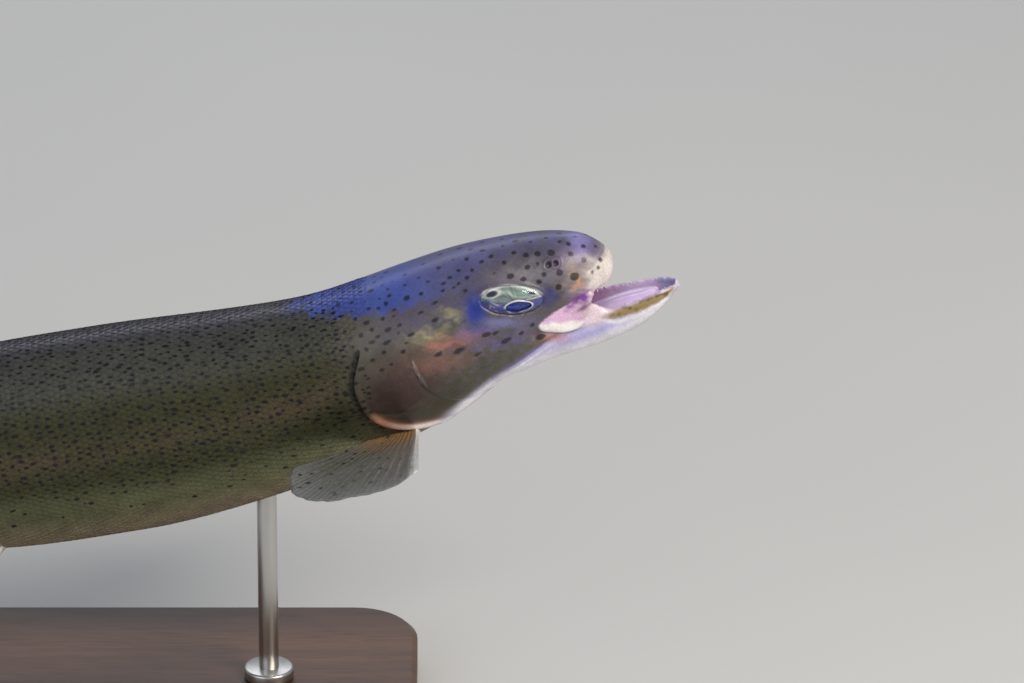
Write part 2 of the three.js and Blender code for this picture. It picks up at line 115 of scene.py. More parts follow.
# %% Outlines
back = smooth([[NOSE, 3.2], [-0.4, 7.6], [1.4, 10.5], [3.5, 12.9], [8.5, 16], [14, 18.4], [26, 21.9],
               [41, 24.9], [57, 26.4], [82, 27.8], [120, 30], [160, 31.5], [195, 31], [235, 27],
               [272, 20.5], [300, 15.8], [324, 14.6], [338, 16.5]], True)
belly = smooth([[45, -17.8], [52, -19.6], [60, -21.3], [82, -24], [115, -30], [155, -34], [195, -33.5],
                [232, -28.5], [265, -21], [296, -15.6], [324, -13.8], [338, -15.8]])
widest = smooth([[NOSE, 3.1], [1, 2.2], [15, 3], [31, 4], [60, 4], [82, 3], [120, 2], [200, 0.5], [338, 0.5]])
trunk_half = smooth([[45, 17], [66, 18.8], [82, 19.5], [100, 20.6], [140, 21.3], [175, 20.8], [212, 18.2],
                     [250, 14], [290, 8.8], [324, 5.2], [338, 3.8]])
head_half = smooth([[NOSE, 0], [-1.3, 3.2], [-0.2, 5.2], [1.5, 6.8], [4.4, 8.6], [9, 10.7], [15, 12.7],
                    [31, 16.2], [45, 18.2], [60, 20], [72, 20.8], [90, 20.6]], True)
head_under = smooth([[NOSE, 3], [-1.2, 1], [0, -0.8], [6, -2.6], [12, -3.4], [24, -5.2], [31, -10.5],
                     [40, -16.4], [50, -19.1], [60, -21.3], [90, -24.6]])
lip_square = smooth([[0, 0.24], [22, 0.24], [45, 0.9]])
jaw_half = smooth([[0, 0], [3, 4.3], [7, 6.2], [12, 7.5], [25, 10.2], [37, 12.7], [51, 15.2],
                   [66, 16.8]], True)
jaw_rim = smooth([[0, -12.9], [5, -11.7], [12, -10.6], [25, -8.4], [37, -6.4], [51, -5], [66, -4]])
jaw_under = smooth([[0, -13.9], [4, -16.4], [10, -19], [16, -20.4], [28, -20.1], [38, -18.5], [49, -17.3],
                    [59, -18], [66, -19.4]])
spine_pitch = smooth([[-30, 26], [55, 26], [115, 12.5], [160, 11], [240, 8.5], [400, 6]])
spine_turn = smooth([[-30, 0], [60, 0], [150, -2.5], [210, 0], [300, 8], [400, 15]])
GILL_EDGE = [[76, 14], [81.3, 6], [82, -2], [79.5, -9.5], [73, -15.8], [64, -20.5], [56, -24.5]]


def side_view(p):
    """Station, distance from the middle plane, and height of straight points."""
    return -p[:, 0], np.abs(p[:, 1]), p[:, 2]


def up_the_side(s, z):
    """Height on the trunk's side, from 0 at the belly to 1 at the back."""
    return np.clip((z - belly(s)) / (back(s) - belly(s)), 0, 1)


print("depth at the middle", round(float(back(160) - belly(160)), 1), "mm")


# %% The spine that bends the straight fish
def heading(station):
    pitch, turn = np.radians(spine_pitch(station)), np.radians(spine_turn(station))
    c, s, ct, st = np.cos(pitch), np.sin(pitch), np.cos(turn), np.sin(turn)
    ahead = np.stack([c * ct, c * st, s], -1)
    left = np.stack([-st, ct, 0 * s], -1)
    return ahead, left, np.stack([-s * ct, -s * st, c], -1)


SPINE_STEP = 0.5
knots = np.arange(0, TOTAL_LENGTH + 30, SPINE_STEP)
spine = np.vstack([[0, 0, 0], np.cumsum(-heading(knots + SPINE_STEP / 2)[0] * SPINE_STEP, 0)])


def along_spine(station):
    i = np.clip((station / SPINE_STEP).astype(int), 0, len(spine) - 2)
    t = (station / SPINE_STEP - i)[:, None]
    ahead = heading(np.zeros(1))[0]
    return np.where(station[:, None] < 0, -station[:, None] * ahead, spine[i] * (1 - t) + spine[i + 1] * t)


balance = along_spine(np.array([float(BALANCE_STATION)]))[0]
fish_place = np.array([-balance[0], -balance[1], SNOUT_HEIGHT])


def bend(points):
    """Straight points in millimetres, x forward, to their places in the model in metres."""
    p = np.asarray(points, float).reshape(-1, 3)
    _, left, up = heading(-p[:, 0])
    return (along_spine(-p[:, 0]) + left * p[:, 1:2] + up * p[:, 2:3] + fish_place) / 1000


print("snout at", bend([[0, 0, 0]]), "tail root at", bend([[-TAIL_ROOT, 0, 0]]))


# %% [markdown]
# ## One skin, from lofts
# The real skin runs unbroken from lip to tail. Body, lower jaw and the two upper jawbones are lofts of
# egg-shaped rings. The mouth and the eye sockets are cut out with booleans, and a voxel remesh turns
# the lot into one closed skin of even small faces, fine enough to carve. A subdivided box could give
# the same, but would need the mouth's thin lips to be cut by hand.

# %% Rings
def around(count):
    return np.linspace(0, 2 * np.pi, count, endpoint=False)


def section(station, y, z):
    return np.stack([np.full(len(y), -station), y, z], 1)


def ring(station, half, top, level, bottom, count, full, under):
    """An egg-shaped ring; full and under say how square it is above and below its widest level."""
    angle = around(count)
    rise, out = np.sin(angle), np.cos(angle)
    y = half * np.sign(out) * np.abs(out) ** np.where(rise > 0, full, under)
    z = level + np.where(rise > 0, top - level, level - bottom) * rise
    return section(station, y, z)


print("points of a ring:", ring(0, 2, 3, 0, -1, 4, 1, 1).round(1).tolist())


# %% From points to a piece, and a loft of rings
def placed(name, data):
    obj = bpy.data.objects.new(name, data)
    bpy.context.collection.objects.link(obj)
    return obj


def piece(name, points, faces):
    mesh = bpy.data.meshes.new(name)
    mesh.from_pydata(points.tolist(), [], faces)
    return placed(name, mesh)


def read(items, field, width=3):
    flat = np.empty(len(items) * width, np.float32)
    items.foreach_get(field, flat)
    return flat.reshape(-1, width)


def points_of(obj):
    return read(obj.data.vertices, "co").astype(float)


def set_points(obj, points):
    obj.data.vertices.foreach_set("co", np.ascontiguousarray(points, np.float32).ravel())
    obj.data.update()


def turn_out(obj):
    work = bmesh.new()
    work.from_mesh(obj.data)
    bmesh.ops.remove_doubles(work, verts=work.verts, dist=1e-5)
    bmesh.ops.recalc_face_normals(work, faces=work.faces)
    work.to_mesh(obj.data)
    work.free()
    return obj


def tube(name, rings):
    """Joins rings of points into one piece, closed by a fan at each end, and returns its points too."""
    n, k = len(rings[0]), len(rings)
    points = np.vstack(rings + [rings[0].mean(0)[None], rings[-1].mean(0)[None]])
    faces = [(i * n + j, i * n + (j + 1) % n, (i + 1) * n + (j + 1) % n, (i + 1) * n + j)
             for i in range(k - 1) for j in range(n)]
    faces += [(k * n, (j + 1) % n, j) for j in range(n)]
    faces += [(k * n + 1, (k - 1) * n + j, (k - 1) * n + (j + 1) % n) for j in range(n)]
    return turn_out(piece(name, points, faces)), points


def loft(name, rings):
    return tube(name, rings)[0]


# %% Body and lower jaw
def spaced(start, end, count, blunt=False):
    t = np.linspace(0, 1, count)
    return start + (end - start) * (t * t if blunt else t)


TAIL_WEDGE = 13  # behind the tail root the flesh thins to a rounded wedge, over the roots of the rays


def body_ring(s, count=88, inset=0.0):
    """The whole body, from nose to tail root; the head is a little wider than the trunk behind it."""
    if s > TAIL_ROOT:
        thin = max(1 - ((s - TAIL_ROOT) / TAIL_WEDGE) ** 2, 0)
        made = ring(s, 0.45 + (3.35 - inset) * thin, 10 + (6.5 - inset) * thin ** 0.5, 0.3,
                    -9.5 - (6.3 - inset) * thin ** 0.5, count, 0.94, 0.94)
        made[:, 0] += 5 * ease(s, TAIL_ROOT, TAIL_ROOT + TAIL_WEDGE) * (made[:, 2] / 10) ** 2
        return made
    k = ease(s, 70, 94)
    half = head_half(s) * (1 - k) + trunk_half(s) * k if s > 60 else head_half(s)
    under = belly(s) if s > 60 else head_under(s)
    trunk = float(np.clip((s - 60) / 30, 0, 1))
    return ring(s, half - inset, back(s) - inset, widest(s), under + inset, count,
                0.9 + 0.04 * trunk, float(lip_square(s)) + 0.04 * trunk)


stations = np.concatenate([spaced(NOSE + 0.02, 12, 24, True), np.arange(12.8, TAIL_ROOT, 1.6),
                           TAIL_ROOT + TAIL_WEDGE * np.sin(np.linspace(0, math.pi / 2, 8))])
insets = HEAD_DEPTH + (SKIN_DEPTH - HEAD_DEPTH) * np.clip((stations - 60) / 30, 0, 1)
body = loft("body", [body_ring(s, inset=inset) for s, inset in zip(stations, insets)])
jaw = loft("jaw", [ring(r - JAW_REACH, jaw_half(r) - 0.1 - 2.2 * ease(r, 50, 66), jaw_rim(r) + 0.6,
                        jaw_rim(r), jaw_under(r) + 2 * ease(r, 50, 66), 64, 0.7, 0.85)
                   for r in spaced(0.06, 66, 46, True)])
print("body loft", len(body.data.polygons), "faces; jaw loft", len(jaw.data.polygons))

# %% The mouth's hollow
palate = smooth([[2, -1], [5, 1.2], [16, 2.6], [30, 0], [46, -9]])
floor_of_mouth = smooth([[-15, -13.6], [-12, -15.2], [-4, -16.6], [10, -16.4], [28, -14], [46, -11]])
upper_hollow = loft("upper_hollow", [ring(s, min(head_half(s) - 2.0, 11), palate(s), -4, -10, 48, 0.6, 0.6)
                                     for s in spaced(2.2, 46, 26, True)])
lower_hollow = loft("lower_hollow", [
    ring(r - JAW_REACH, min(jaw_half(r) - 1.35, 10.5), jaw_rim(r) + 3, jaw_rim(r) - 1.5,
         floor_of_mouth(r - JAW_REACH), 48, 0.6, 0.6) for r in spaced(1.4, 62, 26, True)])
print("floor of the mouth", round(float(jaw_rim(16) - floor_of_mouth(0)), 1), "mm under the lip")

# %% Upper jawbones and the mouth's corners
maxilla_line = smooth([[6.5, -1.5], [8.5, -2.4], [12, -4], [15, -4.7], [18, -4.5], [21, -3.9], [25, -3.0]])
maxilla_half = smooth([[6.5, 0.5], [8.5, 1.6], [12, 3.2], [15, 4.1], [18, 3.8], [21, 2.8], [23.5, 1.7],
                       [25, 0.6]])


def maxilla_side(s, z):
    """How far out the upper jawbone lies: on the cheek above, and a little inwards below it."""
    return head_half(s) * 0.97 - 0.3 - 0.1 * np.maximum(-3.5 - z, 0)


def maxilla(side):
    rings = []
    for s in spaced(6.5, 25, 26):
        angle = around(28)
        z = maxilla_line(s) + float(maxilla_half(s)) * np.sin(angle)
        y = side * (maxilla_side(s, z) + 1.1 * np.sign(np.cos(angle)) * np.abs(np.cos(angle)) ** 0.7)
        rings.append(section(s, y, z))
    return loft("maxilla", rings)


def mouth_fold(side):
    """The skin between the upper jawbone and the lower jaw, which closes the corner of the open mouth."""
    rings = []
    for s in spaced(4.5, 26, 26):
        low = float(jaw_rim(s + JAW_REACH)) - 1
        high = low + 1.1 + (float(maxilla_line(s)) - low) * float(ease(s, 4, 12))
        angle = around(24)
        z = (low + high) / 2 + (high - low) / 2 * np.sin(angle)
        foot, head = jaw_half(s + JAW_REACH) - 1, head_half(s) * 0.95 - 0.9
        y = side * (foot + (head - foot) * (z - low) / (high - low) + 0.75 * np.cos(angle))
        rings.append(section(s, y, z))
    return loft("fold", rings)


print("upper jawbone", 2 * round(float(maxilla_half(15)), 1), "mm high")


# %% The eyes' openings
def eye_axes(side):
    """Forward, upward and outward directions of an eye, level in the world and square to the cheek."""
    outward = np.array([math.sin(CHEEK_TURN), side * math.cos(CHEEK_TURN), math.sin(CHEEK_RISE)])
    outward /= np.linalg.norm(outward)
    forward = np.array([math.cos(EYE_TILT), 0, -math.sin(EYE_TILT)])
    forward -= outward * forward.dot(outward)
    forward /= np.linalg.norm(forward)
    return forward, np.cross(outward, forward) * -side, outward


def eye_place(side, a, b, h):
    """Points a forward, b up and h out from the middle of an eye's opening."""
    forward, upward, outward = eye_axes(side)
    middle = np.array([-EYE_STATION, side * EYE_SIDE, EYE_HEIGHT])
    outer = np.multiply.outer
    return middle + outer(a, forward) + outer(b, upward) + outer(h, outward)


def opening_cutter(side):
    """A ball, flattened to the shape of the eye's opening and turned square to the cheek."""
    bpy.ops.mesh.primitive_uv_sphere_add(segments=64, ring_count=40, radius=1)
    ball = bpy.context.object
    unit = points_of(ball)
    set_points(ball, eye_place(side, unit[:, 0] * EYE_LONG, unit[:, 1] * EYE_TALL, unit[:, 2] * EYE_DEPTH))
    ball.select_set(False)
    return turn_out(ball)


print("right eye looks along", np.round(eye_axes(-1)[2], 2))


# %% Join and cut
def apply_modifier(obj, kind, **settings):
    bpy.context.view_layer.objects.active = obj
    modifier = obj.modifiers.new(kind.lower(), kind)
    for key, value in settings.items():
        setattr(modifier, key, value)
    bpy.ops.object.modifier_apply(modifier=modifier.name)


def boolean(obj, other, operation):
    apply_modifier(obj, "BOOLEAN", object=other, operation=operation, solver="EXACT")
    bpy.data.objects.remove(other)


hollows = []  # kept as search trees, to know later which skin lines the mouth
for hollow in (upper_hollow, lower_hollow):
    bpy.context.view_layer.update()
    hollows.append(BVHTree.FromObject(hollow, bpy.context.evaluated_depsgraph_get()))
boolean(body, jaw, "UNION")
boolean(body, upper_hollow, "DIFFERENCE")
boolean(body, lower_hollow, "DIFFERENCE")
for side in (-1, 1):
    boolean(body, maxilla(side), "UNION")
    boolean(body, mouth_fold(side), "UNION")
    boolean(body, opening_cutter(side), "DIFFERENCE")
skin = body
skin.name = skin.data.name = "skin"
print("carved blank:", len(skin.data.polygons), "faces")

# %% One closed skin of small faces
VOXEL = 0.57  # millimetres
SCALED_FROM, TRUNK_SHARE = 92, 0.34  # behind this station a third of the faces is enough


def select_only(*objects):
    """Selects these objects and no others; the last one is the active one."""
    bpy.ops.object.select_all(action="DESELECT")
    for obj in objects:
        obj.select_set(True)
        bpy.context.view_layer.objects.active = obj


def shade(obj, angle=None):
    """Shades an object smooth; with an angle in degrees, sharper edges stay sharp."""
    select_only(obj)
    if angle:
        bpy.ops.object.shade_smooth_by_angle(angle=math.radians(angle))
    else:
        bpy.ops.object.shade_smooth()


def triangles(obj):
    return sum(len(f.vertices) - 2 for f in obj.data.polygons)


apply_modifier(skin, "REMESH", mode="VOXEL", voxel_size=VOXEL, use_smooth_shade=True)
apply_modifier(skin, "SMOOTH", factor=0.5, iterations=3)
print("remeshed skin:", len(skin.data.polygons), "faces")

# %% Fewer faces on the trunk, where scales cover the skin
p = points_of(skin)
rear = skin.vertex_groups.new(name="rear")
rear.add([int(i) for i in np.nonzero(p[:, 0] < -SCALED_FROM)[0]], 1.0, "REPLACE")
apply_modifier(skin, "DECIMATE", ratio=TRUNK_SHARE, vertex_group="rear", vertex_group_factor=1.0)
skin.data.validate()
print("skin:", triangles(skin), "triangles")

# %% [markdown]
# ## Carving the head
# A trout's head is all plates: a gill cover with a free hind edge, a cheek plate in front of it, a
# rim of small bones round the eye, two nostrils, a lip along each jaw. They could be sculpted with
# brushes. Here each is a line drawn on the side view, and the skin is pushed out or in by its distance
# from that line, so the two sides match and each plate can be measured.

# %% Lines on the side view, and distances from them
def side_line(knots_sz, count=160):
    index, t = np.arange(len(knots_sz)), np.linspace(0, len(knots_sz) - 1, count)
    return np.stack([smooth(np.stack([index, values], 1))(t) for values in np.array(knots_sz, float).T], 1)


def from_line(line, s, z):
    """Distance from a side-view line, positive ahead of it, and how far along the line, from 0 to 1."""
    q = np.stack([s, z], 1)
    best = np.full(len(q), 1e9)
    where = np.zeros(len(q), int)
    for k in range(len(line)):
        d = (q[:, 0] - line[k, 0]) ** 2 + (q[:, 1] - line[k, 1]) ** 2
        closer = d < best
        best[closer], where[closer] = d[closer], k
    w = np.clip(where, 1, len(line) - 2)
    along = line[w + 1] - line[w - 1]
    off = q - line[w]
    side = along[:, 0] * off[:, 1] - along[:, 1] * off[:, 0]
    return np.sqrt(best) * np.where(side < 0, 1, -1), where / (len(line) - 1)


def from_head_line(line, s, z, head):
    """The same distance for the points of the head alone; all others count as far away."""
    distance = np.full(len(s), 99.0)
    distance[head] = from_line(line, s[head], z[head])[0]
    return distance


gill_line = side_line(GILL_EDGE)
cheek_line = side_line([[58, 15], [62, 7], [62.5, -2], [60, -9], [54.5, -14.5], [45, -17]])
seam_line = side_line([[62.5, -8], [70, -8.6], [79.5, -5]])
under_eye_line = side_line([[16, 4], [21, -1], [28, -4.2], [36, -3.5], [42, 1], [44, 7]])
LATERAL = smooth([[74, 10.5], [90, 7.5], [120, 4.5], [200, 1.5], [338, 0.3]])
print("gill cover edge", round(float(np.abs(np.diff(gill_line, axis=0)).sum()), 1), "mm round")

# %% What lines the mouth
def lining(points):
    """1 where a point lies on the mouth's hollow, 0 on the outside of the fish."""
    inside = np.zeros(len(points))
    for i in np.nonzero((points[:, 0] > -50) & (np.abs(points[:, 1]) < 13) & (points[:, 2] < 4))[0]:
        reach = min(tree.find_nearest(Vector(points[i]))[3] for tree in hollows)
        inside[i] = 1 - min(max((reach - 0.3) / 0.4, 0), 1)
    return inside


def eye_reach(p):
    """How far a side-view point lies from the middle of the eye, where 1 is the rim of its opening."""
    ahead, up = p[:, 0] + EYE_STATION, p[:, 2] - EYE_HEIGHT
    a = ahead * math.cos(EYE_TILT) - up * math.sin(EYE_TILT)
    b = ahead * math.sin(EYE_TILT) + up * math.cos(EYE_TILT)
    return np.where(np.abs(p[:, 1]) > 8, np.hypot(a / EYE_LONG, b / EYE_TALL), 9.0)


print("mouth lining:", int((lining(points_of(skin)) > 0.5).sum()), "points")

# %% Finer faces where edges are sharp
NOSTRILS = [(12.4, 11.9, 0.72), (14.4, 12.5, 0.85)]  # station, height and radius of the two openings
BETWEEN_STATION, BETWEEN_HEIGHT = 13.4, 12.2


def round_nostrils(p, reach):
    """Which points lie round a side's pair of nostrils, by the square of their distance."""
    away = (-p[:, 0] - BETWEEN_STATION) ** 2 + (p[:, 2] - BETWEEN_HEIGHT) ** 2
    return (away < reach) & (np.abs(p[:, 1]) > 5)


def refine(obj, wanted):
    """Splits every edge whose two ends are wanted."""
    work = bmesh.new()
    work.from_mesh(obj.data)
    work.verts.ensure_lookup_table()
    edges = [e for e in work.edges if wanted[e.verts[0].index] and wanted[e.verts[1].index]]
    bmesh.ops.subdivide_edges(work, edges=edges, cuts=1, use_grid_fill=True)
    bmesh.ops.triangulate(work, faces=[f for f in work.faces if len(f.verts) > 4])
    work.to_mesh(obj.data)
    work.free()


p = points_of(skin)
rim = lining(p)
s, y, z = side_view(p)
from_gill = from_head_line(gill_line, s, z, (s > 50) & (s < 86))
sharp = (np.abs(eye_reach(p) - 1.02) < 0.16) | (np.abs(from_gill) < 1.3) & (z < 15) & (y > 4)
sharp |= (rim > 0.02) & (rim < 0.98) & (s < 26)
refine(skin, sharp | round_nostrils(p, 14))
refine(skin, round_nostrils(points_of(skin), 10))
print("skin with finer edges:", triangles(skin), "triangles")

# %% Soften the cut edges of the eye's opening and of the lips
p = points_of(skin)
rim = lining(p)
soft = skin.vertex_groups.new(name="soft")
s, y, z = side_view(p)
jaw_lip = bell(jaw_rim(s + JAW_REACH) - z, 1.3) * (s < 30) * (y > jaw_half(s + JAW_REACH) - 3)
upper_lip = bell(head_under(s) + 0.4 - z, 1.4) * (s < 26) * (y > head_half(s) - 4)
weight = np.maximum(np.maximum(bell((eye_reach(p) - 1.02) * 7.5, 1.5), jaw_lip), upper_lip)
for level in (0.3, 0.6, 1.0):
    soft.add([int(i) for i in np.nonzero(weight > level - 0.2)[0]], level, "REPLACE")
apply_modifier(skin, "SMOOTH", factor=0.6, iterations=9, vertex_group="soft")
p, n = points_of(skin), read(skin.data.vertex_normals, "vector").astype(float)
mouth = lining(p)
print("soft edges:", int((weight > 0.1).sum()), "points")


# %% Push the plates out and the grooves in
def step(distance, width):
    return 0.5 + 0.5 * np.tanh(distance / width)


def carve(p, mouth):
    """How far each point of the skin is pushed out, in millimetres; what lines the mouth is left alone."""
    s, y, z = side_view(p)
    out = 1 - mouth
    lift = np.zeros(len(s))
    head = (s > 5) & (s < 100)
    # the gill cover's free edge, and the groove behind it
    g = from_head_line(gill_line, s, z, head)
    live = ease(16.5 - z, 0, 5) * out * head
    lift += live * step(g, 0.3) * (0.85 * np.exp(-np.maximum(g, 0) / 6) - 0.3 * bell(g - 2.4, 0.7))
    lift -= live * step(-g, 0.3) * 0.8 * bell(g, 1.6)
    # the cheek plate, the seam across the gill cover and the small bones under the eye
    c = from_head_line(cheek_line, s, z, head)
    lift += (out * (0.28 * step(c, 0.3) * np.exp(-np.maximum(c, 0) / 4) - 0.4 * bell(c + 0.5, 0.75))
             * (y > 6) * fade(z, 11, 15))
    lift -= out * 0.25 * bell(from_line(seam_line, s, z)[0], 0.6) * (s > 60) * (s < 80)
    lift -= out * 0.14 * bell(from_line(under_eye_line, s, z)[0], 0.9) * (s > 12) * (s < 46) * (y > 7)
    # the lids' ridges and furrows, by rough millimetres outside the rim of the eye's opening
    r = (eye_reach(p) - 1) * 7.6
    below = ease(EYE_HEIGHT - z, -6, 4)
    lift += (y > 6) * ((0.3 - 0.2 * below) * bell(r - 0.9, 0.8)
                       - 0.16 * (0.4 + 0.6 * below) * bell(r - 2.6, 0.8) + 0.1 * below * bell(r - 4.0, 0.9))
    for station, height, size in NOSTRILS:
        q = np.hypot(s - station, (z - height) * 1.1)
        lift += (y > 5) * (0.4 * bell(q - size - 0.5, 0.45) - 1.35 * ease(-q, -size - 0.15, -size * 0.45))
    # the lower lip, the furrow between the jaw's halves and the pleats of the throat
    drop = jaw_rim(s + JAW_REACH) - z
    jaw_zone = out * (s < 30) * (z < -5) * (drop > -1)
    lift += jaw_zone * (0.22 * bell(drop - 1.1, 0.9) - 0.3 * bell(drop - 3.0, 0.7))
    under = ease(np.where(s < 45, jaw_under(s + JAW_REACH), belly(s)) + 6 - z, 0, 4) * out
    lift -= under * 0.75 * bell(y, 2.2) * ease(s, -12, -4) * fade(s, 40, 56)
    lift += under * ease(s, 34, 44) * fade(s, 54, 64) * 0.16 * np.sin((y - 0.1 * s) * 2 * np.pi / 2.8)
    # the fold round the jawbone's end, the lateral line and the ridges of the palate
    corner = np.hypot(s - 24.5, z + 5.5)
    lift -= out * 0.3 * bell(corner - 3.2, 0.9) * (y > 8) * (s > 22)
    lift -= out * 0.1 * bell(z - LATERAL(s), 0.5) * (s > 84) * (s < TAIL_ROOT)
    lift += mouth * 0.18 * np.sin(p[:, 1] * 2.2) * bell(p[:, 2] - 1, 4)
    return lift


lift = carve(p, mouth)
set_points(skin, p + n * lift[:, None])
apply_modifier(skin, "SMOOTH", factor=0.35, iterations=1)
straight = points_of(skin)
print("carved by", round(float(lift.min()), 2), "to", round(float(lift.max()), 2), "mm")

# %% [markdown]
# ## Colours of the fish
# A rainbow trout is dark olive above and pale below, with a faint pinkish band along its side. On top of
# its head and back the wet skin gets a painted reflection of the sky, violet and blue. Lips are lilac and
# gold, the mouth is mauve, and the edge of the gill cover runs out in orange and white. Painted shade
# darkens the groove behind the gill cover and a line under each upper jawbone. Painting by hand would do,
# but then skin and scales would need it twice. Here one function gives the colour of any place on the
# straight fish, and every piece asks it.

# %% Named colours
def linear(hex_colour):
    """The linear values of an sRGB hex colour."""
    parts = [int(hex_colour[i:i + 2], 16) / 255 for i in (0, 2, 4)]
    return np.array([v / 12.92 if v <= 0.04045 else ((v + 0.055) / 1.055) ** 2.4 for v in parts])


COLOURS = {
    "back": "454742", "upper flank": "3b3b24", "middle flank": "41432a", "low flank": "727557",
    # spine sheen, crown and nape are painted reflections of the sky on the wet back and head
    "belly": "a3977f", "side band": "6e5546", "spine sheen": "42424a", "crown": "585a8c",
    "nape": "4556a2", "forehead": "544f61", "snout": "7a6d84", "snout gold": "a3957c", "brow": "88848a",
    "eye mauve": "8082b4", "snout top": "8781bd", "nose": "f2e8e2", "snout orange": "d9935c",
    "cheek": "5b574b", "under eye": "67617c", "violet streak": "7367a0", "salmon patch": "b07a6e",
    "gold patch": "a8a27a", "behind eye": "2f3f96", "before eye": "41417c", "eye rim": "e6e0e6",
    "gill cover": "4a3a36", "gill cover foot": "413d2d", "edge white": "f6eeec",
    "edge orange": "dfa284", "plate line": "ddd2ce", "jaw side": "b9b6e6", "jaw foot": "f4f1f9",
    "jaw line": "7d78a6", "jaw gold": "a08744", "jaw brown": "63532f", "lip": "d9c6ee",
    "mouth rim": "e6d2f2", "mouth roof": "bd92c0", "mouth tip": "a9abd6", "mouth fold": "f3dfe8",
    "jawbone": "e2bbdb", "jawbone foot": "fbf4f2", "jawbone joint": "753f8a", "jawbone line": "5c2a38",
    "jaw salmon": "c98c88", "throat": "d3ccd6", "cheek olive": "4c5040", "tail root": "43452e",
    "lateral line": "2f3026", "spot": "100e15",
}
COLOURS = {name: linear(value) for name, value in COLOURS.items()}
print(len(COLOURS), "colours")


# %% Patches, laid over one another
def patch(s, z, at_s, at_z, long, tall, tilt=0.0):
    """A soft oval on the side view; tilt turns its long axis, in degrees up towards the tail."""
    c, t = math.cos(math.radians(tilt)), math.sin(math.radians(tilt))
    a, b = (s - at_s) * c + (z - at_z) * t, (z - at_z) * c - (s - at_s) * t
    return np.exp(-(a / long) ** 2 - (b / tall) ** 2)


def cover(c, over, where):
    """Lays a colour over others, as far as it is wanted there, from 0 to 1."""
    c += (over - c) * np.clip(where, 0, 1)[:, None]


print("a patch, half its length from its middle:", round(float(patch(1, 0, 0, 0, 2, 1)), 2))


# %% Paint of the trunk
def paint_trunk(c, s, z):
    h = up_the_side(s, z)
    # the top band, spine sheen, is a painted sheen of the sky along the back
    for name, start, end in (("low flank", 0.06, 0.26), ("middle flank", 0.22, 0.42),
                             ("upper flank", 0.45, 0.72), ("back", 0.72, 0.95), ("spine sheen", 0.94, 1.0)):
        cover(c, COLOURS[name], ease(h, start, end))
    band = bell(z - LATERAL(s) + 1.5, 4.2) * (0.26 + 0.12 * np.sin(s / 9) * np.sin(s / 23))
    cover(c, COLOURS["side band"], band * ease(s, 70, 96))
    cover(c, COLOURS["lateral line"], 0.5 * bell(z - LATERAL(s), 0.35) * (s > 84))
    cover(c, COLOURS["tail root"], ease(s, 318, 341))


flank = np.tile(COLOURS["belly"], (3, 1))
paint_trunk(flank, np.full(3, 150.0), np.array([28.0, 0.0, -30.0]))
print("back, side and belly:", flank.round(3).tolist())

# %% Paint of the head
# the height, by station, above which the head's top gets its painted reflection of the sky
HEAD_SKY = smooth([[-2, 6], [8, 15], [20, 19.5], [32, 20.5], [44, 19], [58, 20.5], [81, 25], [104, 31]])


def wander(s, z):
    """A slow, uneven drift of up to two millimetres, so that no patch of colour keeps a drawn edge."""
    sin = np.sin
    return (0.9 * sin(0.8 * s + 1.6 * sin(0.6 * z)) + 0.6 * sin(1.9 * z + 0.5 * s)
            + 0.4 * sin(2.7 * s - 3.1 * z),
            0.5 * sin(0.6 * s + 1.2 * z) + 0.35 * sin(1.5 * s - 0.9 * z) + 0.25 * sin(4.1 * z + 0.8 * s))


